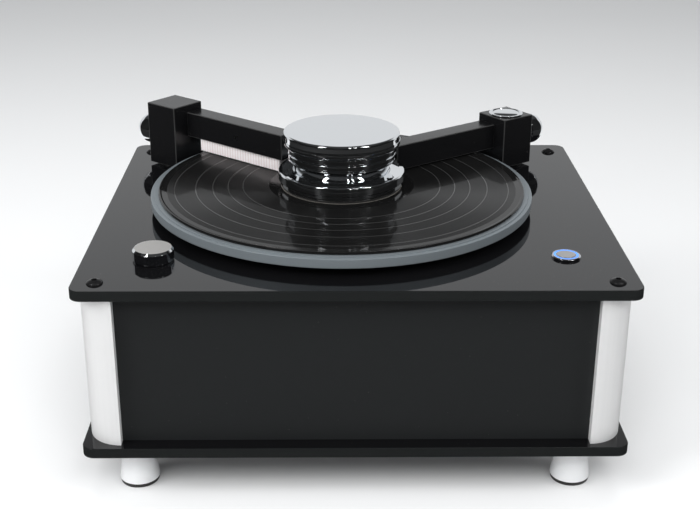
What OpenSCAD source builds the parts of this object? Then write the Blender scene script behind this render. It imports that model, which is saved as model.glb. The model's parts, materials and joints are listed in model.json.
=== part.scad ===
// Record cleaning machine: a cabinet on four feet, a driven platter with a record and a clamp,
// a brush arm on the left and a suction arm on the right.
// Millimetres, +Z up, the front towards -Y. The origin is on the floor under the cabinet's centre.

/* [Cabinet] */
// Width of the top and bottom plates
plate_w = 406; // [398:1:440]
// Depth of the top and bottom plates
plate_d = 342; // [334:1:370]
// Thickness of each plate
plate_t = 8; // [6:1:12]
// Radius of the plates' upright corners
plate_corner_r = 9; // [4:1:14]
// Clear height between the two plates
cabinet_h = 119; // [117:1:150]
// Radius of a corner column's round outside
column_r = 26; // [24:1:30]
// How far the plates stand out past the columns at the sides
side_overhang = 3; // [2:1:5]
// How far the plates stand out past the front columns
front_overhang = 5; // [3:1:8]
// How far the plates stand out past the rear columns
rear_overhang = 12; // [11:1:15]
// Thickness of the front, side and rear panels
panel_t = 4; // [3:0.5:5]
// How deep the panels sit behind the columns' outsides
panel_recess = 7.5; // [6:0.5:9]
// How deep a panel's edge reaches into a column's groove
panel_tongue = 3; // [2:0.5:4]

/* [Feet] */
// Height of a foot with its pad
foot_h = 36; // [24:1:45]
// Radius of a foot at its top
foot_top_r = 11; // [9:0.5:13]
// Radius of a foot at its base
foot_base_r = 15.3; // [13:0.1:18]
// Thickness of the rubber pad under a foot
foot_pad_t = 3; // [2:0.5:5]
// Distance of a foot's axis from the plate's side edge
foot_inset_side = 37; // [36:0.5:55]
// Distance of a foot's axis from the plate's front or rear edge
foot_inset_front = 30.5; // [28:0.5:50]

/* [Platter and record] */
// Place of the spindle, right of the cabinet's centre
spindle_x = -9.9; // [-14:0.1:0]
// Place of the spindle, behind the cabinet's centre
spindle_y = 9.7; // [5:0.1:12]
// Radius of the record pin at the top of the spindle
pin_r = 3.58; // [3.4:0.01:3.6]
// Height of the pin above the record
pin_h = 13; // [8:1:15]
// Radius of the bearing shaft
shaft_r = 5; // [4:0.5:6]
// Radius of the platter
platter_r = 156.8; // [153:0.1:158]
// Thickness of the platter
platter_t = 8.1; // [6:0.1:12]
// Gap between the top plate and the platter
platter_gap = 6.5; // [6:0.1:10]
// Radius of the record
record_r = 150.5; // [149:0.1:151]
// Thickness of the record
record_t = 2.2; // [1.6:0.1:2.6]
// Radius of the record's label
label_r = 50; // [46:1:51]

/* [Clamp] */
// Largest radius of the clamp's base
clamp_base_r = 52.3; // [49:0.1:52.5]
// Height of the clamp's base with its rubber ring
clamp_base_h = 13.8; // [12:0.1:18]
// Radius of the clamp's grip at its waist
clamp_waist_r = 39; // [34:0.5:40]
// Largest radius of the clamp's cap
clamp_cap_r = 48.3; // [46:0.1:50]
// Height of the whole clamp
clamp_h = 46.2; // [44:0.1:56]

/* [Arms] */
// Distance of both arm towers from the spindle, sideways
tower_dx = 149.3; // [149:0.1:153]
// Distance of both arm towers behind the spindle
tower_dy = 107.6; // [106:0.1:110]
// Side of a square tower
tower_s = 34; // [30:0.5:35]
// Gap between a tower and the top plate
tower_gap = 2; // [1.8:0.1:3]
// Height of a tower above its arm's top
tower_rise = 6.5; // [4:0.5:12]
// Width of an arm
beam_w = 18; // [17:0.5:20]
// Height of an arm
beam_h = 22; // [20:0.5:26]
// Radius of both towers' pivots
pivot_r = 8; // [7:0.5:8.5]
// Radius of the round knob on a tower's back
rear_knob_r = 13.5; // [11:0.5:15]
// Length of the round knob on a tower's back
rear_knob_l = 25; // [20:1:28]

/* [Brush arm] */
// Direction of the brush arm, turned from +X
brush_angle = -39.7; // [-42:0.1:-38]
// Length of the brush arm from its pivot
brush_reach = 129.8; // [122:0.1:130]
// Length of the bristles' field
bristle_field = 94; // [70:1:95]
// Length of the bristles below the arm
bristle_l = 11.5; // [8:0.5:16]
// Gap between the bristles' tips and the record
bristle_gap = 0.5; // [0.4:0.1:2]
// Thickness of one bristle
bristle_d = 0.9; // [0.6:0.1:1.1]

/* [Suction arm] */
// Direction of the suction arm, turned from +X
suction_angle = 215.8; // [215:0.1:218]
// Length of the suction arm from its pivot
suction_reach = 128.5; // [120:0.1:130]
// Width of the suction slot
slot_w = 3; // [1.5:0.5:3.5]
// Thickness of the velvet lips beside the slot
lip_t = 0.8; // [0.5:0.1:1.5]
// Gap between the lips and the record
lip_gap = 0.4; // [0.3:0.1:1]
// Radius of the chrome cap on the suction tower
tower_cap_r = 15.2; // [12:0.1:15.5]

/* [Controls] */
// Place of the mode knob, left of the cabinet's centre
mode_knob_x = 150; // [145:1:155]
// Place of the mode knob, in front of the cabinet's centre
mode_knob_y = 113.2; // [110:0.1:120]
// Radius of the mode knob
mode_knob_r = 15.3; // [12:0.1:18]
// Height of the mode knob
mode_knob_h = 10; // [8:0.1:14]
// Place of the power button, right of the cabinet's centre
power_button_x = 157; // [150:1:165]
// Place of the power button, in front of the cabinet's centre
power_button_y = 109; // [106:0.5:116]
// Radius of the power button's bezel
bezel_r = 11; // [10.8:0.1:13]
// Travel of the power button
button_travel = 1.5; // [1:0.1:2]

/* [Drive] */
// Place of the drive motor, right of the spindle
motor_dx = 85; // [78:1:90]
// Place of the drive motor, in front of the spindle
motor_dy = 55; // [50:1:60]
// Radius of the drive motor's can
motor_r = 22; // [18:1:24]
// Radius of the platter pulley's belt seat
platter_pulley_r = 40; // [30:1:46]
// Radius of the motor pulley's belt seat
motor_pulley_r = 10; // [8:1:14]
// Height of the belt
belt_h = 8; // [6:0.5:10]

/* [Vacuum] */
// Place of the suction turbine, left of the spindle
turbine_dx = 100; // [95:1:104]
// Place of the suction turbine, in front of the spindle
turbine_dy = 70; // [66:1:74]
// Radius of the turbine's chamber
turbine_r = 42; // [36:1:43]
// Width of the waste tank
tank_w = 105; // [100:1:108]
// Depth of the waste tank
tank_d = 100; // [90:1:104]
// Height of the waste tank without its lid
tank_h = 64; // [58:1:66]
// Bore of the suction hoses
hose_bore_r = 8; // [7:0.5:8.5]
// Wall of the suction hoses
hose_wall = 2.5; // [1.5:0.5:3]

/* [Rear fittings] */
// Place of the mains inlet, left of the cabinet's centre
inlet_x = 125; // [115:1:135]
// Distance from the mains inlet to the mains switch
switch_dx = 38; // [34:1:45]
// Height of inlet and switch above the bottom plate
inlet_up = 68; // [66:1:85]
// Place of the drain valve, right of the cabinet's centre
drain_x = 110; // [100:1:135]
// Height of the drain valve above the bottom plate
drain_up = 20; // [16:1:26]
// Radius of the drain's hose nipple
nipple_r = 4.5; // [4:0.5:6]

/* [Hidden] */
$fn = 96;

// Clearances
fit = 0.03;
slip = 0.1;
rest_gap = 0.1;
sink = 0.01;
cut = 1;

// Heights
bottom_z = foot_h;
deck_z = bottom_z + plate_t;
ceiling_z = deck_z + cabinet_h;
top_z = ceiling_z + plate_t;
platter_z = top_z + platter_gap;
platter_top = platter_z + platter_t;
record_top = platter_top + record_t;

// Cabinet outlines
column_x = plate_w / 2 - side_overhang - column_r;
front_column_y = -plate_d / 2 + front_overhang + column_r;
rear_column_y = plate_d / 2 - rear_overhang - column_r;
side_face_x = column_x + column_r - panel_recess;
front_face_y = front_column_y - column_r + panel_recess;
rear_face_y = rear_column_y + column_r - panel_recess;
rear_inner_y = rear_face_y - panel_t;
groove_play = 0.2;

// Screws through the plates into the columns
screw_head_r = 6.1;
screw_head_h = 3;
screw_r = 2.9;
screw_play = 0.2;
screw_l = 22;
screw_in_x = 0.46 * column_r;
screw_in_y = 0.62 * column_r;
hex_r = 2.3;

// Feet
foot_x = plate_w / 2 - foot_inset_side;
foot_y = plate_d / 2 - foot_inset_front;
stud_r = 4;
stud_l = plate_t - 2;

// Bearing
bush_wall = 3;
bush_l = 14;
bush_r = shaft_r + fit + bush_wall;
housing_r = bush_r + 6;
housing_flange_r = housing_r + 16;
housing_flange_t = 4;
housing_l = 50;
housing_low_z = ceiling_z - housing_l;
washer_t = 1.9;
washer_z = top_z + 2;
hub_r = 30;
hub_z = washer_z + washer_t + rest_gap;
pin_seat = 3;

// Pulleys and belt
flange_rise = 2;
flange_t = 1.5;
belt_t = 1.2;
pulley_h = belt_h + 2 * flange_t + 1;
pulley_gap = 5;
pulley_z = housing_low_z - pulley_gap - pulley_h;
belt_z = pulley_z + (pulley_h - belt_h) / 2;
motor_x = spindle_x + motor_dx;
motor_y = spindle_y - motor_dy;
motor_shaft_r = 3;
motor_plate_t = 4;
motor_top_z = ceiling_z - motor_plate_t;
motor_low_z = pulley_z + pulley_h + 8;
motor_plate_s = 2 * motor_r + 16;

// Arm towers and pivots
brush_x = spindle_x - tower_dx;
suction_x = spindle_x + tower_dx;
tower_y = spindle_y + tower_dy;
tower_low_z = top_z + tower_gap;
tower_half = tower_s / 2;
tower_edge = 0.8;
beam_edge = 0.6;
pivot_bush_r = pivot_r + fit + 2;
socket_r = pivot_bush_r + 2;
socket_collar_r = socket_r + 1.2;
socket_collar_t = tower_gap - 0.4;
socket_l = 21;
socket_low_z = ceiling_z - socket_l;
pivot_low_z = socket_low_z + 4;
pivot_top_z = tower_low_z + 15;

// Rear knobs
knob_z = tower_low_z + 25.5;
knob_stud_r = 4;
knob_stud_l = 8;
knob_neck_l = 1.2;
knob_flange_l = 3.3;
knob_groove_l = 0.8;
knob_dome_l = 12;

// Brush arm
brush_beam_z = record_top + bristle_gap + bristle_l;
brush_beam_top = brush_beam_z + beam_h;
brush_tower_top = brush_beam_top + tower_rise;
brush_back_edge = tower_half - 0.5;
brush_front_edge = brush_back_edge - beam_w;
brush_wall = 1.8;
brush_slot_w = 12.6;
brush_slot_h = 12;
brush_end_wall = 5;
brush_slot_l = bristle_field + 2;
brush_slot_x = brush_reach - brush_end_wall - brush_slot_l;
brush_slot_y = brush_front_edge + brush_wall;
brush_slice_t = 1;
brush_play = 0.1;
bristle_rows = 6;
bristle_columns = 74;
set_screw_r = 2;
set_screw_up = 9.7;

// Suction arm
suction_beam_z = record_top + lip_gap + lip_t;
suction_beam_top = suction_beam_z + beam_h;
suction_tower_top = suction_beam_top + tower_rise;
suction_shift = -4.7;
duct_w = 9;
duct_h = 11;
duct_floor = 3;
duct_r = 5.5;
duct_end_wall = 4;
slot_end = suction_reach - 6;
slot_start = 37;
lip_w = 3.5;
cap_plug_r = 9;
cap_plug_l = 4;
cap_h = 2.4;

// Clamp
clamp_z = record_top + rest_gap;
seal_t = 1.9;
seal_r = clamp_base_r - 2.8;
seal_in_r = 34;
band_h = 3.6;
band_r = clamp_base_r - 1.8;
band_groove = 0.8;
dish_drop = 2;
grip_seat = clamp_base_h - dish_drop - 0.2;
cap_band = 9.8;
neck_r = clamp_waist_r + 3.6;
ring_pitch = (clamp_h - cap_band - 6.6 - grip_seat - 8) / 2;

// Power button
button_r = 7;
led_in_r = 7.7;
led_out_r = 9.2;
bezel_t = 2;
barrel_r = 9.4;
barrel_low_z = ceiling_z - 20;
button_low_z = top_z - 6;

// Mode switch
mode_x = -mode_knob_x;
switch_s = 30;
switch_h = 18;
switch_neck_r = 4.5;
knob_shaft_r = 3;
knob_foot_gap = 0.3;

// Turbine
turbine_x = spindle_x - turbine_dx;
turbine_y = spindle_y - turbine_dy;
turbine_mount_t = 4;
turbine_mount_out = 4;
turbine_mount_in = 8;
turbine_floor = 10;
shaft_end_gap = 0.3;
turbine_can_r = turbine_r - 12;
turbine_z = deck_z + turbine_mount_t;
chamber_z = turbine_z + 34;
chamber_h = 28;
chamber_wall = 3;
turbine_shaft_r = 4;
impeller_r = turbine_r - chamber_wall - 3;
blade_h = 12;
blades = 8;
exhaust_r = 4;

// Waste tank and hoses
tank_gap = 8.9;
tank_x = column_x - tank_gap - tank_w;
tank_y = rear_inner_y - 8 - tank_d;
tank_wall = 3;
tank_r = 6;
tank_top_z = deck_z + tank_h;
lid_t = 4;
lid_z = tank_top_z + lid_t;
hose_nipple_r = hose_bore_r - 0.05;
hose_r = hose_bore_r + hose_wall;
nipple_bore_r = 5.5;
hose_nipple_h = 8;
turbine_port_x = tank_x + 15;
turbine_port_y = tank_y + tank_d - 28;
bend_r = 20;
hose_z = ceiling_z - hose_r - 10;
hose_bend_z = hose_z - bend_r;
turbine_top_z = chamber_z + chamber_h;

// Power supply and control board
supply_w = 100;
supply_d = 56;
supply_h = 45;
supply_x = -side_face_x + panel_t + 18;
supply_y = rear_inner_y - 24 - supply_d;
board_w = 70;
board_d = 50;
board_x = turbine_x - board_w / 2;
board_y = turbine_y + turbine_r + 8;
board_t = 1.6;
standoff_h = 6;
standoff_r = 3;

// Mains inlet and switch
inlet_z = deck_z + inlet_up;
inlet_w = 27;
inlet_h = 20;
inlet_flange = 2;
inlet_flange_t = 2.5;
inlet_l = 20;
socket_w = 23;
socket_h = 15.5;
socket_depth = 16;
blade_l = 9;
rocker_w = 12;
rocker_r = 9;
rocker_tilt = 10;
rocker_travel = 20;
rocker_pin_r = 1.2;
switch_x = -inlet_x + switch_dx;
rocker_y = rear_face_y - 3;

// Drain valve
drain_z = deck_z + drain_up;
valve_r = 9;
valve_end_y = rear_face_y + 9;
nipple_l = 8;
nipple_bore = 2.6;
lever_y = rear_face_y + 4.5;
lever_l = 12.5;
lever_stem_r = 2;

// A flat outline with four round corners, centred
module rounded_outline(w, d, r) {
    square([w - 2 * r, d], center = true);
    square([w, d - 2 * r], center = true);
    for (sx = [-1, 1], sy = [-1, 1])
        translate([sx * (w / 2 - r), sy * (d / 2 - r)])
            circle(r = r);
}

// A square outline with its four corners cut off
module chamfered_outline(w, d, c) {
    polygon([
        [-w / 2 + c, -d / 2], [w / 2 - c, -d / 2], [w / 2, -d / 2 + c], [w / 2, d / 2 - c],
        [w / 2 - c, d / 2], [-w / 2 + c, d / 2], [-w / 2, d / 2 - c], [-w / 2, -d / 2 + c]
    ]);
}

// A round pipe or ring standing on z
module ring(z, h, r_out, r_in) {
    translate([0, 0, z])
        difference() {
            cylinder(h = h, r = r_out);
            translate([0, 0, -cut])
                cylinder(h = h + 2 * cut, r = r_in);
        }
}

// A round hole from z up
module hole(z, h, r) {
    translate([0, 0, z])
        cylinder(h = h, r = r);
}

// Points along an arc
function arc(cx, cy, rx, ry, a0, a1, n) = [
    for (i = [0 : n])
        [cx + rx * cos(a0 + (a1 - a0) * i / n), cy + ry * sin(a0 + (a1 - a0) * i / n)]
];

module at_spindle() {
    translate([spindle_x, spindle_y, 0])
        children();
}

module at_motor() {
    translate([motor_x, motor_y, 0])
        children();
}

module at_turbine() {
    translate([turbine_x, turbine_y, 0])
        children();
}

// Brush arm frame: +X runs along the arm from the pivot, -Y is the arm's front face
module brush_frame() {
    translate([brush_x, tower_y, 0])
        rotate([0, 0, brush_angle])
            children();
}

// Suction arm frame: +X runs along the arm from the pivot, +Y is the arm's front face
module suction_frame() {
    translate([suction_x, tower_y, 0])
        rotate([0, 0, suction_angle])
            children();
}

// Both places where a pivot goes through the top plate
module at_pivots() {
    for (x = [brush_x, suction_x])
        translate([x, tower_y, 0])
            children();
}

// The screws' places in plan
module at_screws() {
    for (sx = [-1, 1]) {
        translate([sx * (column_x + screw_in_x), front_column_y - screw_in_y, 0])
            children();
        translate([sx * (column_x + screw_in_x), rear_column_y + screw_in_y, 0])
            children();
    }
}

module at_feet() {
    for (sx = [-1, 1], sy = [-1, 1])
        translate([sx * foot_x, sy * foot_y, 0])
            children();
}

module top_plate() {
    color([0.03, 0.03, 0.035])
        difference() {
            translate([0, 0, ceiling_z])
                linear_extrude(plate_t)
                    rounded_outline(plate_w, plate_d, plate_corner_r);
            at_screws()
                hole(ceiling_z - cut, plate_t + 2 * cut, screw_r + screw_play);
            at_spindle()
                hole(ceiling_z - cut, plate_t + 2 * cut, housing_r + slip);
            at_pivots()
                hole(ceiling_z - cut, plate_t + 2 * cut, socket_r + slip);
            translate([mode_x, -mode_knob_y, 0])
                hole(ceiling_z - cut, plate_t + 2 * cut, switch_neck_r + slip);
            translate([power_button_x, -power_button_y, 0])
                hole(ceiling_z - cut, plate_t + 2 * cut, barrel_r + slip);
        }
}

module bottom_plate() {
    color([0.03, 0.03, 0.035])
        difference() {
            translate([0, 0, bottom_z])
                linear_extrude(plate_t)
                    rounded_outline(plate_w, plate_d, plate_corner_r);
            at_screws()
                hole(bottom_z - cut, plate_t + 2 * cut, screw_r + screw_play);
            at_feet()
                hole(bottom_z - cut, stud_l + cut + slip, stud_r + slip);
        }
}

// A flat upright panel between two columns, across the front or rear
module cross_panel(face_y, inward) {
    w = 2 * (column_x + panel_tongue);
    y = inward > 0 ? face_y : face_y - panel_t;
    translate([-w / 2, y, deck_z])
        cube([w, panel_t, cabinet_h]);
}

// A flat upright panel at one side, clear of the pivots' sockets
module side_panel(side) {
    low = front_column_y - panel_tongue;
    high = rear_column_y + panel_tongue;
    x = side > 0 ? side_face_x - panel_t : -side_face_x;
    difference() {
        translate([x, low, deck_z])
            cube([panel_t, high - low, cabinet_h]);
        at_pivots()
            hole(socket_low_z - slip, socket_l + slip + cut, socket_r + slip);
    }
}

module front_panel() {
    color([0.05, 0.05, 0.055])
        cross_panel(front_face_y, 1);
}

module rear_panel() {
    vents = 7;
    vent_pitch = 9;
    vent_w = 60;
    vent_h = 4;
    color([0.05, 0.05, 0.055])
        difference() {
            cross_panel(rear_face_y, -1);
            translate([-inlet_x - inlet_w / 2 - slip, rear_inner_y - cut, inlet_z - inlet_h / 2 - slip])
                cube([inlet_w + 2 * slip, panel_t + 2 * cut, inlet_h + 2 * slip]);
            translate([switch_x - inlet_h / 2 - slip, rear_inner_y - cut, inlet_z - inlet_w / 2 - slip])
                cube([inlet_h + 2 * slip, panel_t + 2 * cut, inlet_w + 2 * slip]);
            translate([drain_x, rear_inner_y - cut, drain_z])
                rotate([-90, 0, 0])
                    cylinder(h = panel_t + 2 * cut, r = valve_r + slip);
            for (i = [0 : vents - 1])
                translate([-vent_w / 2 + spindle_x, rear_inner_y - cut, deck_z + 36 + i * vent_pitch])
                    cube([vent_w, panel_t + 2 * cut, vent_h]);
        }
}

module left_panel() {
    color([0.05, 0.05, 0.055])
        side_panel(-1);
}

module right_panel() {
    color([0.05, 0.05, 0.055])
        side_panel(1);
}

// One corner column in the quadrant of +X and -Y, its inner corner at the origin
module column() {
    groove_x = panel_tongue + groove_play;
    panel_y = -column_r + panel_recess - groove_play;
    panel_x = column_r - panel_recess - panel_t - groove_play;
    difference() {
        translate([0, 0, deck_z])
            intersection() {
                cylinder(h = cabinet_h, r = column_r);
                translate([0, -column_r - cut, 0])
                    cube([column_r + cut, column_r + cut, cabinet_h]);
            }
        translate([-cut, panel_y, deck_z - cut])
            cube([groove_x + cut, panel_t + 2 * groove_play, cabinet_h + 2 * cut]);
        translate([panel_x, -groove_x, deck_z - cut])
            cube([panel_t + 2 * groove_play, groove_x + cut, cabinet_h + 2 * cut]);
        translate([screw_in_x, -screw_in_y, 0]) {
            hole(deck_z - cut, screw_l + cut, screw_r + fit);
            hole(ceiling_z - screw_l, screw_l + cut, screw_r + fit);
        }
    }
}

module corner_columns() {
    color([0.86, 0.87, 0.88]) {
        translate([column_x, front_column_y, 0])
            column();
        translate([-column_x, front_column_y, 0])
            mirror([1, 0, 0])
                column();
        translate([column_x, rear_column_y, 0])
            mirror([0, 1, 0])
                column();
        translate([-column_x, rear_column_y, 0])
            mirror([1, 0, 0])
                mirror([0, 1, 0])
                    column();
    }
}

module feet() {
    color([0.85, 0.86, 0.87])
        at_feet() {
            translate([0, 0, foot_pad_t])
                cylinder(h = foot_h - foot_pad_t, r1 = foot_base_r, r2 = foot_top_r);
            hole(foot_h - sink, stud_l, stud_r);
        }
}

module foot_pads() {
    color([0.12, 0.12, 0.12])
        at_feet()
            cylinder(h = foot_pad_t, r = foot_base_r - 0.6);
}

// A domed screw with a hexagon socket, its head's seat on z = 0 and its shank downward
module button_screw() {
    head = concat([[0, 0], [screw_head_r, 0]], arc(0, 0, screw_head_r, screw_head_h, 8, 78, 8), [[0, screw_head_h]]);
    difference() {
        union() {
            rotate_extrude()
                polygon(head);
            translate([0, 0, -plate_t - screw_l + 4])
                cylinder(h = plate_t + screw_l - 4 + sink, r = screw_r);
        }
        translate([0, 0, screw_head_h - 1.8])
            cylinder(h = 2 + cut, r = hex_r, $fn = 6);
    }
}

module plate_screws() {
    color([0.04, 0.04, 0.04])
        at_screws() {
            translate([0, 0, top_z])
                button_screw();
            translate([0, 0, bottom_z])
                mirror([0, 0, 1])
                    button_screw();
        }
}

module bearing_housing() {
    color([0.7, 0.71, 0.72])
        at_spindle()
            difference() {
                union() {
                    hole(housing_low_z, washer_z - housing_low_z, housing_r);
                    hole(ceiling_z - housing_flange_t, housing_flange_t, housing_flange_r);
                }
                hole(housing_low_z - cut, washer_z - housing_low_z + 2 * cut, bush_r + fit);
            }
}

module bearing_bushes() {
    color([0.72, 0.55, 0.3])
        at_spindle() {
            ring(housing_low_z, bush_l, bush_r, shaft_r + fit);
            ring(washer_z - bush_l, bush_l, bush_r, shaft_r + fit);
        }
}

module thrust_washer() {
    color([0.72, 0.55, 0.3])
        at_spindle()
            ring(washer_z, washer_t, housing_r - 1, shaft_r + 0.5);
}

module drive_motor() {
    color([0.62, 0.63, 0.65])
        at_motor()
            difference() {
                union() {
                    hole(motor_low_z, motor_top_z - motor_low_z, motor_r);
                    hole(motor_low_z - 3, 3 + sink, motor_r / 2);
                }
                hole(motor_low_z - 3 - cut, motor_top_z - motor_low_z - 6, motor_shaft_r + fit);
            }
}

module motor_bracket() {
    leg_w = 6;
    leg_h = 24;
    color([0.5, 0.5, 0.52])
        at_motor() {
            translate([0, 0, motor_top_z])
                linear_extrude(motor_plate_t)
                    rounded_outline(motor_plate_s, motor_plate_s, 4);
            for (sx = [-1, 1])
                translate([sx * (motor_r + 0.2 + leg_w / 2) - leg_w / 2, -10, motor_top_z - leg_h])
                    cube([leg_w, 20, leg_h + sink]);
        }
}

// The outline that a tight belt takes round both pulleys
module belt_outline(grow) {
    hull() {
        translate([spindle_x, spindle_y])
            circle(r = platter_pulley_r + grow);
        translate([motor_x, motor_y])
            circle(r = motor_pulley_r + grow);
    }
}

module drive_belt() {
    color([0.1, 0.1, 0.1])
        translate([0, 0, belt_z])
            linear_extrude(belt_h)
                difference() {
                    belt_outline(slip + belt_t);
                    belt_outline(slip);
                }
}

// A pulley with two flanges round a belt seat
module pulley(seat_r, bore_r) {
    difference() {
        union() {
            hole(pulley_z, pulley_h, seat_r);
            hole(pulley_z, flange_t, seat_r + flange_rise);
            hole(pulley_z + pulley_h - flange_t, flange_t, seat_r + flange_rise);
        }
        hole(pulley_z - cut, pulley_h + 2 * cut, bore_r);
    }
}

module platter_pulley() {
    color([0.75, 0.76, 0.77])
        at_spindle()
            pulley(platter_pulley_r, shaft_r + fit);
}

module motor_pulley() {
    color([0.75, 0.76, 0.77])
        at_motor()
            pulley(motor_pulley_r, motor_shaft_r + fit);
}

module motor_shaft() {
    color([0.8, 0.81, 0.82])
        at_motor()
            hole(pulley_z - 2, motor_top_z - 12 - pulley_z, motor_shaft_r);
}

module spindle() {
    color([0.8, 0.81, 0.82])
        at_spindle() {
            hole(pulley_z - 2, platter_top - pin_seat - pulley_z + 2, shaft_r);
            hole(platter_top - pin_seat - sink, record_top + pin_h - 1 - platter_top + pin_seat + sink, pin_r);
            translate([0, 0, record_top + pin_h - 1 - sink])
                cylinder(h = 1 + sink, r1 = pin_r, r2 = pin_r - 1);
        }
}

module platter() {
    edge = 1;
    step_w = 3.2;
    step_h = 0.8;
    outline = [
        [0, hub_z], [hub_r, hub_z], [hub_r, platter_z], [platter_r - edge, platter_z],
        [platter_r, platter_z + edge], [platter_r, platter_top - step_h - 0.4],
        [platter_r - 0.4, platter_top - step_h], [platter_r - step_w, platter_top - step_h],
        [platter_r - step_w, platter_top], [0, platter_top]
    ];
    color([0.55, 0.57, 0.59])
        at_spindle()
            difference() {
                rotate_extrude($fn = 180)
                    polygon(outline);
                hole(hub_z - cut, platter_top - pin_seat - hub_z + cut, shaft_r + fit);
                hole(hub_z, platter_top - hub_z + cut, pin_r + fit);
            }
}

module record() {
    thin = 0.15;
    bead = 2.5;
    outline = [
        [0, platter_top], [label_r, platter_top], [label_r + 1, platter_top + thin],
        [record_r - bead, platter_top + thin], [record_r - bead + 1, platter_top],
        [record_r - 0.5, platter_top], [record_r, platter_top + record_t / 2],
        [record_r - 0.5, record_top], [record_r - bead + 1, record_top],
        [record_r - bead, record_top - thin], [label_r + 1, record_top - thin],
        [label_r, record_top], [0, record_top]
    ];
    color([0.03, 0.03, 0.03])
        at_spindle()
            difference() {
                rotate_extrude($fn = 180)
                    polygon(outline);
                hole(platter_top - cut, record_t + 2 * cut, pin_r + 0.05);
            }
}

module clamp_seal() {
    color([0.06, 0.06, 0.06])
        at_spindle()
            ring(clamp_z, seal_t, seal_r, seal_in_r);
}

module clamp_base() {
    low = seal_t;
    groove_z = low + band_h;
    outline = [
        [0, low], [band_r, low], [band_r, groove_z], [band_r - 1, groove_z],
        [band_r - 1, groove_z + band_groove], [clamp_base_r - 0.4, groove_z + band_groove],
        [clamp_base_r, groove_z + band_groove + 0.4], [clamp_base_r, clamp_base_h - 1],
        [clamp_base_r - 0.9, clamp_base_h], [clamp_waist_r + 0.6, clamp_base_h - dish_drop],
        [clamp_waist_r + 0.6, grip_seat], [0, grip_seat]
    ];
    color([0.9, 0.9, 0.92])
        at_spindle()
            translate([0, 0, clamp_z])
                difference() {
                    rotate_extrude($fn = 180)
                        polygon(outline);
                    hole(0, clamp_h, pin_r + slip);
                }
}

module clamp_grip() {
    foot = clamp_base_h - dish_drop;
    ring_1 = grip_seat + 12.2;
    ring_2 = ring_1 + ring_pitch;
    cap_low = ring_2 + ring_pitch;
    top_edge = 1.7;
    outline = concat(
        [[0, grip_seat], [clamp_waist_r, grip_seat], [clamp_waist_r, foot + 1]],
        arc(neck_r + 1, foot + 1, neck_r + 1 - clamp_waist_r, ring_1 - foot - 3, 180, 104, 8),
        [
            [neck_r + 1, ring_1 - 1.4], [neck_r + 1, ring_1 - 0.3], [neck_r, ring_1], [neck_r, ring_1 + 0.6],
            [neck_r + 1.5, ring_1 + 1], [neck_r + 1.5, ring_2 - 0.3], [neck_r + 0.4, ring_2],
            [neck_r + 0.4, ring_2 + 0.6], [neck_r + 2.2, ring_2 + 1], [neck_r + 2.2, cap_low - 0.3],
            [neck_r + 1, cap_low], [neck_r + 1, cap_low + 0.6]
        ],
        arc(clamp_cap_r - 3.4, cap_low + 4.2, 3.4, 3.4, -88, 20, 10),
        [[clamp_cap_r - top_edge, clamp_h - 0.2], [clamp_cap_r - top_edge - 0.4, clamp_h], [0, clamp_h]]
    );
    color([0.9, 0.9, 0.92])
        at_spindle()
            translate([0, 0, clamp_z])
                difference() {
                    rotate_extrude($fn = 180)
                        polygon(outline);
                    hole(grip_seat - cut, pin_h + 3 - grip_seat + cut, pin_r + slip);
                }
}

// A tower block, turned with its arm
module tower_block(top) {
    translate([0, 0, tower_low_z])
        linear_extrude(top - tower_low_z)
            chamfered_outline(tower_s, tower_s, tower_edge);
}

// An arm's solid bar from the tower's face to its end
module beam(reach, low, y_mid) {
    translate([tower_half, y_mid, low + beam_h / 2])
        rotate([90, 0, 90])
            linear_extrude(reach - tower_half)
                chamfered_outline(beam_w, beam_h, beam_edge);
}

module knob_stud_hole() {
    translate([-tower_half - cut, 0, knob_z])
        rotate([0, 90, 0])
            cylinder(h = knob_stud_l + cut + slip, r = knob_stud_r + fit);
}

// The round knob on a tower's back, with its stud
module rear_knob() {
    g0 = knob_neck_l;
    g1 = g0 + knob_flange_l;
    g2 = g1 + knob_groove_l;
    g3 = rear_knob_l - knob_dome_l;
    outline = concat(
        [[0, -knob_stud_l], [knob_stud_r, -knob_stud_l], [knob_stud_r, 0], [8, 0], [8, g0]],
        [[rear_knob_r - 0.8, g0], [rear_knob_r, g0 + 0.8], [rear_knob_r, g1 - 0.5], [rear_knob_r - 0.5, g1]],
        [[rear_knob_r - 1.4, g1], [rear_knob_r - 1.4, g2], [rear_knob_r - 0.5, g2], [rear_knob_r, g2 + 0.5]],
        arc(0, g3, rear_knob_r, knob_dome_l, 0, 90, 12)
    );
    translate([-tower_half, 0, knob_z])
        rotate([0, -90, 0])
            rotate_extrude()
                polygon(outline);
}

module brush_tower() {
    color([0.05, 0.05, 0.055])
        brush_frame()
            difference() {
                tower_block(brush_tower_top);
                hole(tower_low_z - cut, pivot_top_z - tower_low_z + cut, pivot_r + fit);
                knob_stud_hole();
            }
}

module brush_pivot() {
    color([0.7, 0.71, 0.72])
        brush_frame()
            hole(pivot_low_z, pivot_top_z - pivot_low_z, pivot_r);
}

module brush_knob() {
    color([0.9, 0.9, 0.92])
        brush_frame()
            rear_knob();
}

module brush_beam() {
    color([0.05, 0.05, 0.055])
        brush_frame()
            difference() {
                beam(brush_reach, brush_beam_z, brush_front_edge + beam_w / 2);
                translate([brush_slot_x, brush_slot_y, brush_beam_z - cut])
                    cube([brush_slot_l, brush_slot_w, brush_slot_h + cut]);
                translate([brush_slot_x + brush_slot_l / 2, brush_front_edge - cut, brush_beam_z + set_screw_up])
                    rotate([-90, 0, 0])
                        cylinder(h = brush_wall + 2 * cut, r = set_screw_r + fit);
            }
}

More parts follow.
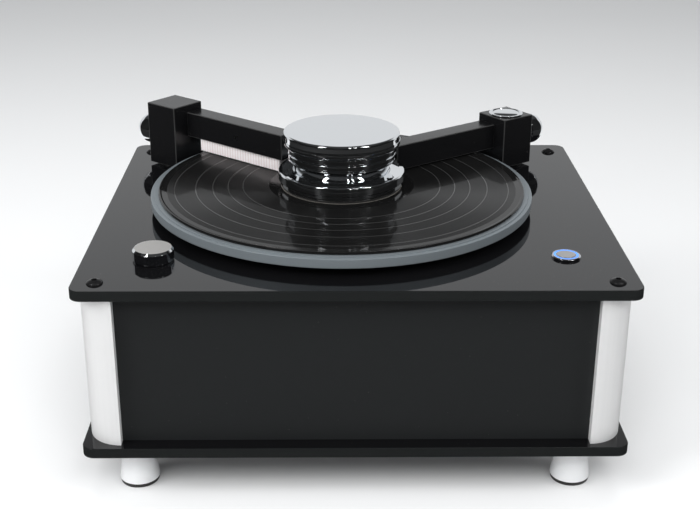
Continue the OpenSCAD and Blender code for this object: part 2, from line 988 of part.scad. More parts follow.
module brush_back() {
    low = brush_beam_z + brush_slice_t;
    color([0.15, 0.15, 0.16])
        brush_frame()
            translate([brush_slot_x + brush_play, brush_slot_y + brush_play, low])
                cube([
                    brush_slot_l - 2 * brush_play,
                    brush_slot_w - 2 * brush_play,
                    brush_slot_h - brush_slice_t - brush_play
                ]);
}

module brush_set_screw() {
    depth = brush_wall + brush_play;
    color([0.8, 0.8, 0.82])
        brush_frame()
            translate([brush_slot_x + brush_slot_l / 2, brush_front_edge, brush_beam_z + set_screw_up])
                rotate([-90, 0, 0])
                    difference() {
                        cylinder(h = depth, r = set_screw_r);
                        translate([0, 0, -cut])
                            cylinder(h = 1 + cut, r = set_screw_r / 2, $fn = 6);
                    }
}

// Straight three-sided bristles in staggered rows, on a thin slice of their backing
module brush_bristles() {
    step_x = bristle_field / bristle_columns;
    step_y = (brush_slot_w - 1) / bristle_rows;
    tip_z = record_top + bristle_gap;
    color([0.93, 0.88, 0.88])
        brush_frame()
            translate([brush_slot_x + (brush_slot_l - bristle_field) / 2, brush_slot_y + 0.5, 0]) {
                translate([brush_play - 0.9, brush_play - 0.4, brush_beam_z])
                    cube([brush_slot_l - 0.4, brush_slot_w - 2 * brush_play - 0.2, brush_slice_t]);
                translate([0, 0, tip_z])
                    linear_extrude(brush_beam_z - tip_z + sink)
                        for (i = [0 : bristle_columns - 1], j = [0 : bristle_rows - 1])
                            translate([(i + 0.3 + 0.4 * (j % 2)) * step_x, (j + 0.5) * step_y])
                                rotate(30 * ((i + j) % 3))
                                    circle(r = bristle_d / 2, $fn = 3);
            }
}

module suction_tower() {
    color([0.05, 0.05, 0.055])
        suction_frame()
            difference() {
                tower_block(suction_tower_top);
                hole(tower_low_z - cut, pivot_top_z - tower_low_z + cut, pivot_r + fit);
                hole(pivot_top_z - cut, suction_tower_top - pivot_top_z, duct_r);
                hole(suction_tower_top - cap_plug_l - slip, cap_plug_l + slip + cut, cap_plug_r + fit);
                translate([0, suction_shift - duct_w / 2, suction_beam_z + duct_floor])
                    cube([tower_half + cut, duct_w, duct_h]);
                knob_stud_hole();
            }
}

module suction_pivot() {
    color([0.7, 0.71, 0.72])
        suction_frame()
            ring(pivot_low_z, pivot_top_z - pivot_low_z, pivot_r, duct_r);
}

module suction_knob() {
    color([0.9, 0.9, 0.92])
        suction_frame()
            rear_knob();
}

module suction_cap() {
    rise = suction_tower_top;
    outline = concat(
        [[0, -cap_plug_l], [cap_plug_r, -cap_plug_l], [cap_plug_r, 0], [tower_cap_r, 0], [tower_cap_r, 1]],
        arc(0, 1, tower_cap_r - 0.6, cap_h - 1, 14, 90, 8)
    );
    color([0.9, 0.9, 0.92])
        suction_frame()
            translate([0, 0, rise])
                rotate_extrude()
                    polygon(outline);
}

module suction_beam() {
    color([0.05, 0.05, 0.055])
        suction_frame()
            difference() {
                beam(suction_reach, suction_beam_z, suction_shift);
                translate([tower_half - cut, suction_shift - duct_w / 2, suction_beam_z + duct_floor])
                    cube([suction_reach - duct_end_wall - tower_half + cut, duct_w, duct_h]);
                translate([slot_start, suction_shift - slot_w / 2, suction_beam_z - cut])
                    cube([slot_end - slot_start, slot_w, duct_floor + 2 * cut]);
            }
}

module suction_lips() {
    color([0.1, 0.1, 0.1])
        suction_frame()
            for (s = [-1, 1])
                translate([
                    slot_start,
                    suction_shift + s * (slot_w + lip_w) / 2 - lip_w / 2,
                    suction_beam_z - lip_t
                ])
                    cube([slot_end - slot_start, lip_w, lip_t]);
}

// Collared tubes that carry the pivots' bushes under both towers
module pivot_sockets() {
    color([0.3, 0.3, 0.32]) {
        at_pivots()
            difference() {
                union() {
                    hole(socket_low_z, top_z - socket_low_z, socket_r);
                    hole(top_z, socket_collar_t, socket_collar_r);
                }
                hole(pivot_low_z - slip, top_z + socket_collar_t - pivot_low_z + slip + cut, pivot_bush_r + fit);
                translate([suction_x - brush_x, 0, 0])
                    hole(0, socket_low_z, nipple_bore_r);
            }
        translate([suction_x, tower_y, 0])
            ring(socket_low_z - hose_nipple_h, hose_nipple_h + sink, hose_nipple_r, nipple_bore_r);
    }
}

module pivot_bushes() {
    color([0.72, 0.55, 0.3])
        at_pivots()
            ring(pivot_low_z, top_z - pivot_low_z, pivot_bush_r, pivot_r + fit);
}

module mode_switch() {
    color([0.2, 0.2, 0.21])
        translate([mode_x, -mode_knob_y, 0])
            difference() {
                union() {
                    translate([-switch_s / 2, -switch_s / 2, ceiling_z - switch_h])
                        cube([switch_s, switch_s, switch_h]);
                    hole(ceiling_z - sink, plate_t - 0.5 + sink, switch_neck_r);
                }
                hole(ceiling_z - switch_h + 3, switch_h + plate_t, knob_shaft_r + fit);
            }
}

module knob_shaft() {
    color([0.7, 0.71, 0.72])
        translate([mode_x, -mode_knob_y, 0])
            hole(ceiling_z - switch_h + 3.2, switch_h + plate_t + mode_knob_h - 6.2, knob_shaft_r);
}

module mode_knob() {
    bevel = 1.6;
    outline = [
        [0, knob_foot_gap], [mode_knob_r - 0.6, knob_foot_gap], [mode_knob_r - 0.6, knob_foot_gap + 1],
        [mode_knob_r, knob_foot_gap + 1], [mode_knob_r, mode_knob_h - bevel],
        [mode_knob_r - bevel, mode_knob_h], [0, mode_knob_h]
    ];
    color([0.9, 0.9, 0.92])
        translate([mode_x, -mode_knob_y, top_z])
            difference() {
                rotate_extrude()
                    polygon(outline);
                hole(-cut, mode_knob_h - 3 + cut + slip, knob_shaft_r + fit);
            }
}

// The power button's fixed body: flange, threaded barrel and the seat of the lit ring
module button_bezel() {
    color([0.85, 0.86, 0.88])
        translate([power_button_x, -power_button_y, 0])
            difference() {
                union() {
                    hole(top_z, bezel_t - 0.6, bezel_r);
                    translate([0, 0, top_z + bezel_t - 0.6])
                        cylinder(h = 0.6, r1 = bezel_r, r2 = bezel_r - 0.8);
                    hole(barrel_low_z, top_z - barrel_low_z + sink, barrel_r);
                }
                hole(button_low_z - button_travel - 1, top_z, button_r + slip);
                ring(top_z + bezel_t - 0.8, 1, led_out_r, led_in_r);
            }
}

module led_ring() {
    color([0.3, 0.55, 1])
        translate([power_button_x, -power_button_y, 0])
            ring(top_z + bezel_t - 0.8, 0.85, led_out_r - 0.02, led_in_r + 0.02);
}

module button_cap() {
    rise = 0.3;
    high = top_z + bezel_t + rise;
    color([0.85, 0.86, 0.88])
        translate([power_button_x, -power_button_y, 0]) {
            hole(button_low_z, high - 0.5 - button_low_z, button_r);
            translate([0, 0, high - 0.5 - sink])
                cylinder(h = 0.5 + sink, r1 = button_r, r2 = button_r - 0.6);
        }
}

// The suction turbine: a motor can below and a hollow fan chamber above, with an inlet nipple
module turbine_housing() {
    color([0.25, 0.26, 0.28])
        at_turbine()
            difference() {
                union() {
                    hole(turbine_z, chamber_z - turbine_z + sink, turbine_can_r);
                    hole(chamber_z, chamber_h, turbine_r);
                    hole(turbine_top_z - sink, hose_nipple_h + sink, hose_nipple_r);
                }
                hole(chamber_z + chamber_wall, chamber_h - 2 * chamber_wall, turbine_r - chamber_wall);
                hole(turbine_top_z - chamber_wall - cut, hose_nipple_h + chamber_wall + 2 * cut, nipple_bore_r);
                hole(turbine_z + turbine_floor, chamber_z - turbine_z, turbine_shaft_r + fit);
                for (i = [0 : 7])
                    rotate([0, 0, 22.5 + i * 45])
                        translate([turbine_r - chamber_wall - 2, 0, chamber_z + chamber_h / 2])
                            rotate([0, 90, 0])
                                cylinder(h = chamber_wall + 4, r = exhaust_r);
            }
}

module turbine_mount() {
    color([0.08, 0.08, 0.08])
        at_turbine()
            ring(deck_z, turbine_mount_t, turbine_can_r + turbine_mount_out, turbine_can_r - turbine_mount_in);
}

module turbine_impeller() {
    disc_z = chamber_z + chamber_wall + 3;
    shaft_z = turbine_z + turbine_floor + shaft_end_gap;
    color([0.7, 0.71, 0.72])
        at_turbine() {
            hole(shaft_z, disc_z - shaft_z + shaft_end_gap, turbine_shaft_r);
            hole(disc_z, 2, impeller_r);
            hole(disc_z, blade_h + 2, 2 * turbine_shaft_r);
            for (i = [0 : blades - 1])
                rotate([0, 0, i * 360 / blades])
                    translate([turbine_shaft_r, -1, disc_z + 1])
                        cube([impeller_r - turbine_shaft_r - 1, 2, blade_h]);
        }
}

module waste_tank() {
    color([0.75, 0.77, 0.78])
        difference() {
            union() {
                translate([tank_x + tank_w / 2, tank_y + tank_d / 2, deck_z])
                    linear_extrude(tank_h)
                        rounded_outline(tank_w, tank_d, tank_r);
                translate([drain_x, tank_y + tank_d - sink, drain_z])
                    rotate([-90, 0, 0])
                        cylinder(h = 4 + sink, r = valve_r + 2);
            }
            translate([tank_x + tank_w / 2, tank_y + tank_d / 2, deck_z + tank_wall])
                linear_extrude(tank_h)
                    rounded_outline(tank_w - 2 * tank_wall, tank_d - 2 * tank_wall, tank_r - tank_wall);
            translate([drain_x, tank_y + tank_d - tank_wall - cut, drain_z])
                rotate([-90, 0, 0])
                    cylinder(h = tank_wall + 4 + 2 * cut, r = nipple_bore);
        }
}

module tank_lid() {
    lip = 4;
    color([0.15, 0.15, 0.16])
        difference() {
            union() {
                translate([tank_x + tank_w / 2, tank_y + tank_d / 2, tank_top_z])
                    linear_extrude(lid_t)
                        rounded_outline(tank_w, tank_d, tank_r);
                translate([tank_x + tank_w / 2, tank_y + tank_d / 2, tank_top_z - lip])
                    linear_extrude(lip + sink)
                        rounded_outline(
                            tank_w - 2 * tank_wall - 2 * slip,
                            tank_d - 2 * tank_wall - 2 * slip,
                            tank_r - tank_wall - slip
                        );
                translate([suction_x, tower_y, lid_z - sink])
                    cylinder(h = hose_nipple_h + sink, r = hose_nipple_r);
                translate([turbine_port_x, turbine_port_y, lid_z - sink])
                    cylinder(h = hose_nipple_h + sink, r = hose_nipple_r);
            }
            translate([suction_x, tower_y, 0])
                hole(tank_top_z - lip - cut, lid_t + lip + hose_nipple_h + 2 * cut, nipple_bore_r);
            translate([turbine_port_x, turbine_port_y, 0])
                hole(tank_top_z - lip - cut, lid_t + lip + hose_nipple_h + 2 * cut, nipple_bore_r);
        }
}

// A straight hose from the suction pivot's socket down to the tank's lid
module suction_hose() {
    low = lid_z + 0.3;
    high = socket_low_z - 0.3;
    color([0.08, 0.08, 0.08])
        translate([suction_x, tower_y, 0])
            ring(low, high - low, hose_r, hose_bore_r);
}

// The solid run of a hose: up from the tank, across, round and down to the turbine
module hose_run(r, low_1, low_2) {
    translate([turbine_port_x, turbine_port_y, 0])
        hole(low_1, hose_bend_z - low_1 + sink, r);
    translate([turbine_port_x - bend_r, turbine_port_y, hose_bend_z])
        rotate([90, 0, 0])
            rotate_extrude(angle = 90)
                translate([bend_r, 0])
                    circle(r = r);
    translate([turbine_x + bend_r - sink, turbine_port_y, hose_z])
        rotate([0, 90, 0])
            cylinder(h = turbine_port_x - turbine_x - 2 * bend_r + 2 * sink, r = r);
    translate([turbine_x + bend_r, turbine_port_y - bend_r, hose_z])
        rotate([0, 0, 90])
            rotate_extrude(angle = 90)
                translate([bend_r, 0])
                    circle(r = r);
    translate([turbine_x, turbine_y + bend_r - sink, hose_z])
        rotate([-90, 0, 0])
            cylinder(h = turbine_port_y - turbine_y - 2 * bend_r + 2 * sink, r = r);
    translate([turbine_x, turbine_y + bend_r, hose_bend_z])
        rotate([90, 0, -90])
            rotate_extrude(angle = 90)
                translate([bend_r, 0])
                    circle(r = r);
    at_turbine()
        hole(low_2, hose_bend_z - low_2 + sink, r);
}

module turbine_hose() {
    color([0.08, 0.08, 0.08])
        difference() {
            hose_run(hose_r, lid_z + 0.3, turbine_top_z + 0.3);
            hose_run(hose_bore_r, lid_z, turbine_top_z);
        }
}

module power_supply() {
    fins = 9;
    fin_t = 4;
    fin_h = 5;
    pitch = (supply_w - 2 * fin_t) / (fins - 1);
    color([0.6, 0.61, 0.62])
        translate([supply_x, supply_y, deck_z]) {
            cube([supply_w, supply_d, supply_h - fin_h]);
            for (i = [0 : fins - 1])
                translate([fin_t / 2 + i * pitch, 0, supply_h - fin_h - sink])
                    cube([fin_t, supply_d, fin_h + sink]);
        }
}

module control_board() {
    board_z = deck_z + standoff_h;
    part_z = board_z + board_t - sink;
    relay = [13, 16, 15];
    relay_at = [12, 8];
    relay_pitch = 18;
    can_r = 5;
    can_h = 16;
    can_at = [16, board_d - 14];
    can_pitch = 16;
    color([0.1, 0.4, 0.2]) {
        translate([board_x, board_y, board_z])
            cube([board_w, board_d, board_t]);
        for (px = [5, board_w - 5], py = [5, board_d - 5])
            translate([board_x + px, board_y + py, 0])
                hole(deck_z, standoff_h + sink, standoff_r);
        for (i = [0 : 2])
            translate([board_x + relay_at[0] + i * relay_pitch, board_y + relay_at[1], part_z])
                cube(relay);
        for (i = [0 : 2])
            translate([board_x + can_at[0] + i * can_pitch, board_y + can_at[1], 0])
                hole(part_z, can_h, can_r);
    }
}

// The mains inlet: a flanged socket with three contact blades
module mains_inlet() {
    color([0.06, 0.06, 0.06])
        translate([-inlet_x, rear_face_y, inlet_z]) {
            difference() {
                union() {
                    translate([-inlet_w / 2, -inlet_l, -inlet_h / 2])
                        cube([inlet_w, inlet_l + sink, inlet_h]);
                    translate([-inlet_w / 2 - inlet_flange, 0, -inlet_h / 2 - inlet_flange])
                        cube([inlet_w + 2 * inlet_flange, inlet_flange_t, inlet_h + 2 * inlet_flange]);
                }
                translate([-socket_w / 2, inlet_flange_t - socket_depth, -socket_h / 2])
                    cube([socket_w, socket_depth + cut, socket_h]);
            }
            for (p = [[-6, -1.5], [0, 2], [6, -1.5]])
                translate([p[0] - 1, inlet_flange_t - socket_depth - sink, p[1] - 2])
                    cube([2, blade_l, 4]);
        }
}

// The mains switch's housing, open at the back for its rocker
module switch_housing() {
    color([0.06, 0.06, 0.06])
        translate([switch_x, rear_face_y, inlet_z])
            difference() {
                union() {
                    translate([-inlet_h / 2, -inlet_l, -inlet_w / 2])
                        cube([inlet_h, inlet_l + sink, inlet_w]);
                    translate([-inlet_h / 2 - inlet_flange, 0, -inlet_w / 2 - inlet_flange])
                        cube([inlet_h + 2 * inlet_flange, inlet_flange_t, inlet_w + 2 * inlet_flange]);
                }
                translate([0, rocker_y - rear_face_y, 0])
                    rotate([0, 90, 0])
                        cylinder(h = rocker_w + 0.6, r = rocker_r + 0.4, center = true);
                translate([-rocker_w / 2 - 0.3, rocker_y - rear_face_y, -rocker_r - 0.4])
                    cube([rocker_w + 0.6, inlet_l, 2 * rocker_r + 0.8]);
                translate([0, rocker_y - rear_face_y, 0])
                    rotate([0, 90, 0])
                        cylinder(h = rocker_w + 4.6, r = rocker_pin_r + fit, center = true);
            }
}

// The rocker: a disc with a shallow V face, at rest tilted to one side
module mains_rocker() {
    valley = 5;
    mouth = valley + 2 * rocker_r * tan(rocker_tilt);
    color([0.12, 0.12, 0.12])
        translate([switch_x, rocker_y, inlet_z])
            rotate([rocker_tilt, 0, 0])
                rotate([90, 0, 90]) {
                    linear_extrude(rocker_w, center = true)
                        difference() {
                            circle(r = rocker_r);
                            polygon([
                                [valley, 0], [mouth, 2 * rocker_r], [2 * mouth, 2 * rocker_r],
                                [2 * mouth, -2 * rocker_r], [mouth, -2 * rocker_r]
                            ]);
                        }
                    cylinder(h = rocker_w + 4, r = rocker_pin_r, center = true);
                }
}

// The drain valve's body through the rear panel, with a hose nipple
module drain_valve() {
    low_y = tank_y + tank_d + 4;
    color([0.75, 0.62, 0.35])
        difference() {
            union() {
                translate([drain_x, low_y, drain_z])
                    rotate([-90, 0, 0])
                        cylinder(h = valve_end_y - low_y, r = valve_r);
                translate([drain_x, valve_end_y - sink, drain_z])
                    rotate([-90, 0, 0])
                        cylinder(h = nipple_l + sink, r = nipple_r);
                translate([drain_x, lever_y, 0])
                    hole(drain_z, valve_r + 2, lever_stem_r + 2);
            }
            translate([drain_x, low_y - cut, drain_z])
                rotate([-90, 0, 0])
                    cylinder(h = valve_end_y + nipple_l - low_y + 2 * cut, r = nipple_bore);
            translate([drain_x, lever_y, 0])
                hole(drain_z + nipple_bore + 1, valve_r + 4, lever_stem_r + fit);
        }
}

module drain_lever() {
    low_z = drain_z + nipple_bore + 1.2;
    bar_z = drain_z + valve_r + 2.4;
    color([0.7, 0.1, 0.1])
        translate([drain_x, lever_y, 0]) {
            hole(low_z, bar_z + 1 - low_z, lever_stem_r);
            hole(bar_z, 2.5, lever_stem_r + 2);
            translate([0, -2.5, bar_z])
                cube([lever_l, 5, 2.5]);
        }
}

top_plate();
bottom_plate();
front_panel();
rear_panel();
left_panel();
right_panel();
corner_columns();
feet();
foot_pads();
plate_screws();
bearing_housing();
bearing_bushes();
thrust_washer();
drive_motor();
motor_bracket();
drive_belt();
turbine_housing();
turbine_mount();
waste_tank();
tank_lid();
suction_hose();
turbine_hose();
power_supply();
control_board();
mode_switch();
button_bezel();
led_ring();
mains_inlet();
switch_housing();
drain_valve();
pivot_sockets();
pivot_bushes();
platter();
spindle();
platter_pulley();
record();
motor_shaft();
motor_pulley();
clamp_seal();
clamp_base();
clamp_grip();
brush_tower();
brush_beam();
brush_back();
brush_bristles();
brush_set_screw();
brush_knob();
brush_pivot();
suction_tower();
suction_beam();
suction_lips();
suction_cap();
suction_knob();
suction_pivot();
mode_knob();
knob_shaft();
button_cap();
mains_rocker();
drain_lever();
turbine_impeller();
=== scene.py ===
"""The looks of a record cleaning machine, made around its packed construction.

Lengths are in metres, apart from the outlines of turned pieces and the sizes that they are
made from: those are in mm until `rounded` turns them into metres. The frame has +X to the
right, +Y to the rear and +Z up, with its origin on the floor under the cabinet's centre.
"""

from __future__ import annotations

import json
import logging
import math
import random
from dataclasses import dataclass, field
from enum import Enum
from typing import ClassVar

import bmesh
import bpy
from mathutils import Matrix, Vector

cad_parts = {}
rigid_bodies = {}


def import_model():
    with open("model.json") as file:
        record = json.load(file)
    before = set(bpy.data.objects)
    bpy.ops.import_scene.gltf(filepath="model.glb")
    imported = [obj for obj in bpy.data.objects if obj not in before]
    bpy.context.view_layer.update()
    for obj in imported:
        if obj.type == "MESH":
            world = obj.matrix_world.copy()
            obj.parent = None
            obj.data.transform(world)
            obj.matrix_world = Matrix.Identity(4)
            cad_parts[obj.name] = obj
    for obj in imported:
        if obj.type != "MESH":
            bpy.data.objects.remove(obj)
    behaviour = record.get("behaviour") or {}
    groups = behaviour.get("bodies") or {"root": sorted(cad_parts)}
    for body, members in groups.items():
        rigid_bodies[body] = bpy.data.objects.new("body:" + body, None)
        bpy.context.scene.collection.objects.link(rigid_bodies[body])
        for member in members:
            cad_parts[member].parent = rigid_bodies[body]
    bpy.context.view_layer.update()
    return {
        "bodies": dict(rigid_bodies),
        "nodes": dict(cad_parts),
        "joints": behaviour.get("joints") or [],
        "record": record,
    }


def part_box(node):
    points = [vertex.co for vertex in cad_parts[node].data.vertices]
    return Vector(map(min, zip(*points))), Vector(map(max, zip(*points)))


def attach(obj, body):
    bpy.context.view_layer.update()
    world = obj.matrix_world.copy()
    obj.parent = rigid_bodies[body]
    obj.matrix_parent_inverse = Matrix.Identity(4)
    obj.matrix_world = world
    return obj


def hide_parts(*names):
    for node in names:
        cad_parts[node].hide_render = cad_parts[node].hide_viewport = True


LOG = logging.getLogger("record_cleaner")
MM = 0.001
UP = Vector((0.0, 0.0, 1.0))
# Vertices nearer to each other than this are one, in a turned mesh and in the construction's.
WELD = 1e-7
NODE_WELD = 1e-6
# The share of a stretch of an outline that the rounding of one of its ends may take.
NEARLY_HALF = 0.49

Color = tuple[float, float, float]
Outline = list[tuple[float, float]]


class Body(Enum):
    """The moving groups that a piece can ride on."""

    CABINET = "cabinet"
    PLATTER = "platter"
    CLAMP = "clamp"
    BRUSH_ARM = "brush_arm"
    SUCTION_ARM = "suction_arm"
    KNOB = "knob"
    BUTTON = "button"


class Grain(Enum):
    """The fine relief that a finish has."""

    SMOOTH = "smooth"
    ALONG_X = "along_x"
    ALONG_Z = "along_z"
    TURNED = "turned"
    MOULDED = "moulded"


EVEN = (1.0, 1.0, 1.0)
GRAIN_STRETCH = {Grain.ALONG_X: (0.02, 1.0, 1.0), Grain.ALONG_Z: (1.0, 1.0, 0.02)}


@dataclass(frozen=True)
class Heights:
    """Levels above the floor that several sub-assemblies share."""

    foot: float = 36 * MM
    ceiling: float = 163 * MM
    top: float = 171 * MM
    platter: float = 177.5 * MM
    platter_top: float = 185.6 * MM
    record_top: float = 187.8 * MM
    clamp: float = 187.9 * MM
    tower: float = 173 * MM


LEVEL = Heights()
SPINDLE = Vector((-9.9 * MM, 9.7 * MM, 0.0))
TOWER_Y = 117.3 * MM
DUST_COLOR = (0.22, 0.21, 0.2)


def grey(level: float) -> Color:
    """Gives a neutral colour."""
    return (level, level, level)


class NodeWork:
    """A node tree under construction, with short calls to add and join its nodes."""

    def __init__(self, tree: bpy.types.NodeTree) -> None:
        """Takes up a tree.

        Args:
            tree: The tree to work on.
        """
        self.tree = tree

    def add(self, kind: str, inputs: dict | None = None, **settings: object) -> bpy.types.Node:
        """Adds one node.

        Args:
            kind: The node's type name.
            inputs: Socket names or numbers with a value or an output socket each.
            settings: Attributes of the node itself.

        Returns:
            The new node.
        """
        node = self.tree.nodes.new(kind)
        for key, value in settings.items():
            setattr(node, key, value)
        for key, value in (inputs or {}).items():
            self.feed(node.inputs[key], value)
        return node

    def feed(self, socket: bpy.types.NodeSocket, value: object) -> None:
        """Joins an output socket to an input socket, or sets its value."""
        if isinstance(value, bpy.types.NodeSocket):
            self.tree.links.new(value, socket)
        else:
            socket.default_value = value

    def math(self, operation: str, *values: object) -> bpy.types.NodeSocket:
        """Adds one arithmetic step.

        Args:
            operation: The Math node's operation.
            values: Its operands.

        Returns:
            The result's socket.
        """
        return self.add("ShaderNodeMath", dict(enumerate(values)), operation=operation).outputs[0]

    def noise(
        self, place: object, scale: object, detail: float = 2.0, distortion: float = 0.0
    ) -> bpy.types.NodeSocket:
        """Adds a noise.

        Args:
            place: The place to read it at.
            scale: How fine it is.
            detail: How many finer layers it has.
            distortion: How far it is warped.

        Returns:
            The noise's socket.
        """
        inputs = {"Vector": place, "Scale": scale, "Detail": detail, "Distortion": distortion}
        return self.add("ShaderNodeTexNoise", inputs).outputs[0]

    def stretched(self, place: object, factors: object) -> bpy.types.NodeSocket:
        """Multiplies a place by a factor on each axis."""
        inputs = {0: place, 1: factors}
        return self.add("ShaderNodeVectorMath", inputs, operation="MULTIPLY").outputs[0]


class ShaderWork(NodeWork):
    """A material under construction, on a Principled surface."""

    def __init__(self, name: str) -> None:
        """Starts a material with an empty Principled surface.

        Args:
            name: The material's name.
        """
        self.material = bpy.data.materials.new(name)
        self.material.use_nodes = True
        super().__init__(self.material.node_tree)
        self.surface = self.tree.nodes["Principled BSDF"]

    def dress(self, inputs: dict[str, object]) -> None:
        """Joins or sets the surface's inputs.

        Args:
            inputs: Socket names with a value or an output socket each.
        """
        for name, value in inputs.items():
            self.feed(self.surface.inputs[name], value)

    def group(self, tree: bpy.types.NodeTree, inputs: dict) -> bpy.types.Node:
        """Places a shared node group.

        Args:
            tree: The group.
            inputs: Its input values by socket name.

        Returns:
            The group's node.
        """
        return self.add("ShaderNodeGroup", inputs, node_tree=tree)

    def position(self, centre: Vector = Vector(), turn: float = 0.0) -> bpy.types.NodeSocket:
        """Gives the place on the piece, counted from a centre and turned about Z.

        Args:
            centre: The point that becomes the pattern's origin.
            turn: The angle of the pattern's X axis, in radians.

        Returns:
            The vector output to read.
        """
        place = self.add("ShaderNodeTexCoord").outputs["Object"]
        for key, value in (("Location", -centre), ("Rotation", (0.0, 0.0, -turn))):
            place = self.add("ShaderNodeMapping", {"Vector": place, key: value}).outputs[0]
        return place

    def mix(self, mask: object, low: object, high: object) -> bpy.types.NodeSocket:
        """Mixes two colours by a mask.

        Args:
            mask: The share of the second colour.
            low: The first colour.
            high: The second colour.

        Returns:
            The mixed colour's socket.
        """
        node = self.add("ShaderNodeMix", data_type="RGBA")
        self.feed(node.inputs["Factor"], mask)
        for socket, value in ((node.inputs["A"], low), (node.inputs["B"], high)):
            self.feed(socket, value if isinstance(value, bpy.types.NodeSocket) else (*value, 1.0))
        return node.outputs["Result"]

    def span(self, value: object, low: float, high: float) -> bpy.types.NodeSocket:
        """Maps 0 to 1 onto a span.

        Args:
            value: The socket to map.
            low: The result at 0.
            high: The result at 1.

        Returns:
            The mapped value's socket.
        """
        node = self.add("ShaderNodeMapRange", {"Value": value, "To Min": low, "To Max": high})
        return node.outputs[0]

    def relief(self, height: object, depth: float) -> None:
        """Feeds a height to the surface's normal.

        Args:
            height: The height's socket.
            depth: The relief's depth in metres.
        """
        bump = self.add("ShaderNodeBump", {"Height": height, "Distance": depth, "Strength": 1.0})
        self.dress({"Normal": bump.outputs[0]})


class GroupWork(NodeWork):
    """A shader node group under construction."""

    def __init__(self, name: str, inputs: dict[str, object], outputs: list[str]) -> None:
        """Starts a group with its sockets.

        Args:
            name: The group's name.
            inputs: Input names with their default values; a tuple makes a vector socket.
            outputs: The names of its number outputs.
        """
        super().__init__(bpy.data.node_groups.new(name, "ShaderNodeTree"))
        for key, value in inputs.items():
            kind = "NodeSocketVector" if isinstance(value, tuple) else "NodeSocketFloat"
            socket = self.tree.interface.new_socket(key, in_out="INPUT", socket_type=kind)
            socket.default_value = value
        for key in outputs:
            self.tree.interface.new_socket(key, in_out="OUTPUT", socket_type="NodeSocketFloat")
        self.entry = self.tree.nodes.new("NodeGroupInput").outputs
        self.exit = self.tree.nodes.new("NodeGroupOutput").inputs

    def put_out(self, **values: object) -> bpy.types.NodeTree:
        """Joins the group's outputs.

        Args:
            values: The sockets to put out, by output name with _ for a space.

        Returns:
            The finished group.
        """
        for key, value in values.items():
            self.feed(self.exit[key.replace("_", " ")], value)
        return self.tree


class SharedGroups:
    """The shader node groups that several finishes use.

    Attributes:
        coarse_share: The tone's fineness as a share of the relief's.
        speck_radius: A dust speck's radius as a share of its cell.
        tone_step: How far the tone moves on from ring to ring.
    """

    coarse_share = 0.12
    speck_radius = 0.16
    tone_step = 0.11

    def __init__(self) -> None:
        """Builds each group once."""
        self.grain = self._grain()
        self.handling = self._handling()
        self.rings = self._rings()

    def _grain(self) -> bpy.types.NodeTree:
        """Makes the fine, stretched relief of a brushed or moulded surface."""
        work = GroupWork(
            "fine_grain",
            {"Place": (0.0, 0.0, 0.0), "Stretch": EVEN, "Scale": 4000.0},
            ["Height", "Tone"],
        )
        place = work.stretched(work.entry["Place"], work.entry["Stretch"])
        fine = work.noise(place, work.entry["Scale"], detail=3.0)
        coarse_scale = work.math("MULTIPLY", work.entry["Scale"], self.coarse_share)
        return work.put_out(Height=fine, Tone=work.noise(place, coarse_scale))

    def _handling(self) -> bpy.types.NodeTree:
        """Makes the marks of use: soft smears and scattered dust."""
        work = GroupWork(
            "handling_marks",
            {"Place": (0.0, 0.0, 0.0), "Smear size": 14.0, "Dust size": 900.0, "Dust": 0.03},
            ["Smears", "Dust specks"],
        )
        place = work.entry["Place"]
        smears = work.noise(place, work.entry["Smear size"], detail=5.0, distortion=0.6)
        cells = work.add(
            "ShaderNodeTexVoronoi", {"Vector": place, "Scale": work.entry["Dust size"]}
        ).outputs
        near = work.math("LESS_THAN", cells["Distance"], self.speck_radius)
        chosen = work.add("ShaderNodeSeparateColor", {"Color": cells["Color"]}).outputs[0]
        rare = work.math("LESS_THAN", chosen, work.entry["Dust"])
        return work.put_out(Smears=smears, Dust_specks=work.math("MULTIPLY", near, rare))

    def _rings(self) -> bpy.types.NodeTree:
        """Makes concentric lines about the pattern's Z axis."""
        work = GroupWork(
            "turned_rings",
            {"Place": (0.0, 0.0, 0.0), "Pitch": 0.0004},
            ["Height", "Radius", "Tone"],
        )
        flat = work.stretched(work.entry["Place"], (1.0, 1.0, 0.0))
        length = work.add("ShaderNodeVectorMath", {0: flat}, operation="LENGTH")
        radius = length.outputs["Value"]
        turns = work.math("DIVIDE", radius, work.entry["Pitch"])
        wave = work.math("SINE", work.math("MULTIPLY", turns, math.tau))
        step = work.math("MULTIPLY", turns, self.tone_step)
        along = work.add("ShaderNodeCombineXYZ", {0: step}).outputs[0]
        tone = work.noise(along, scale=1.0, detail=3.0)
        return work.put_out(Height=wave, Radius=radius, Tone=tone)


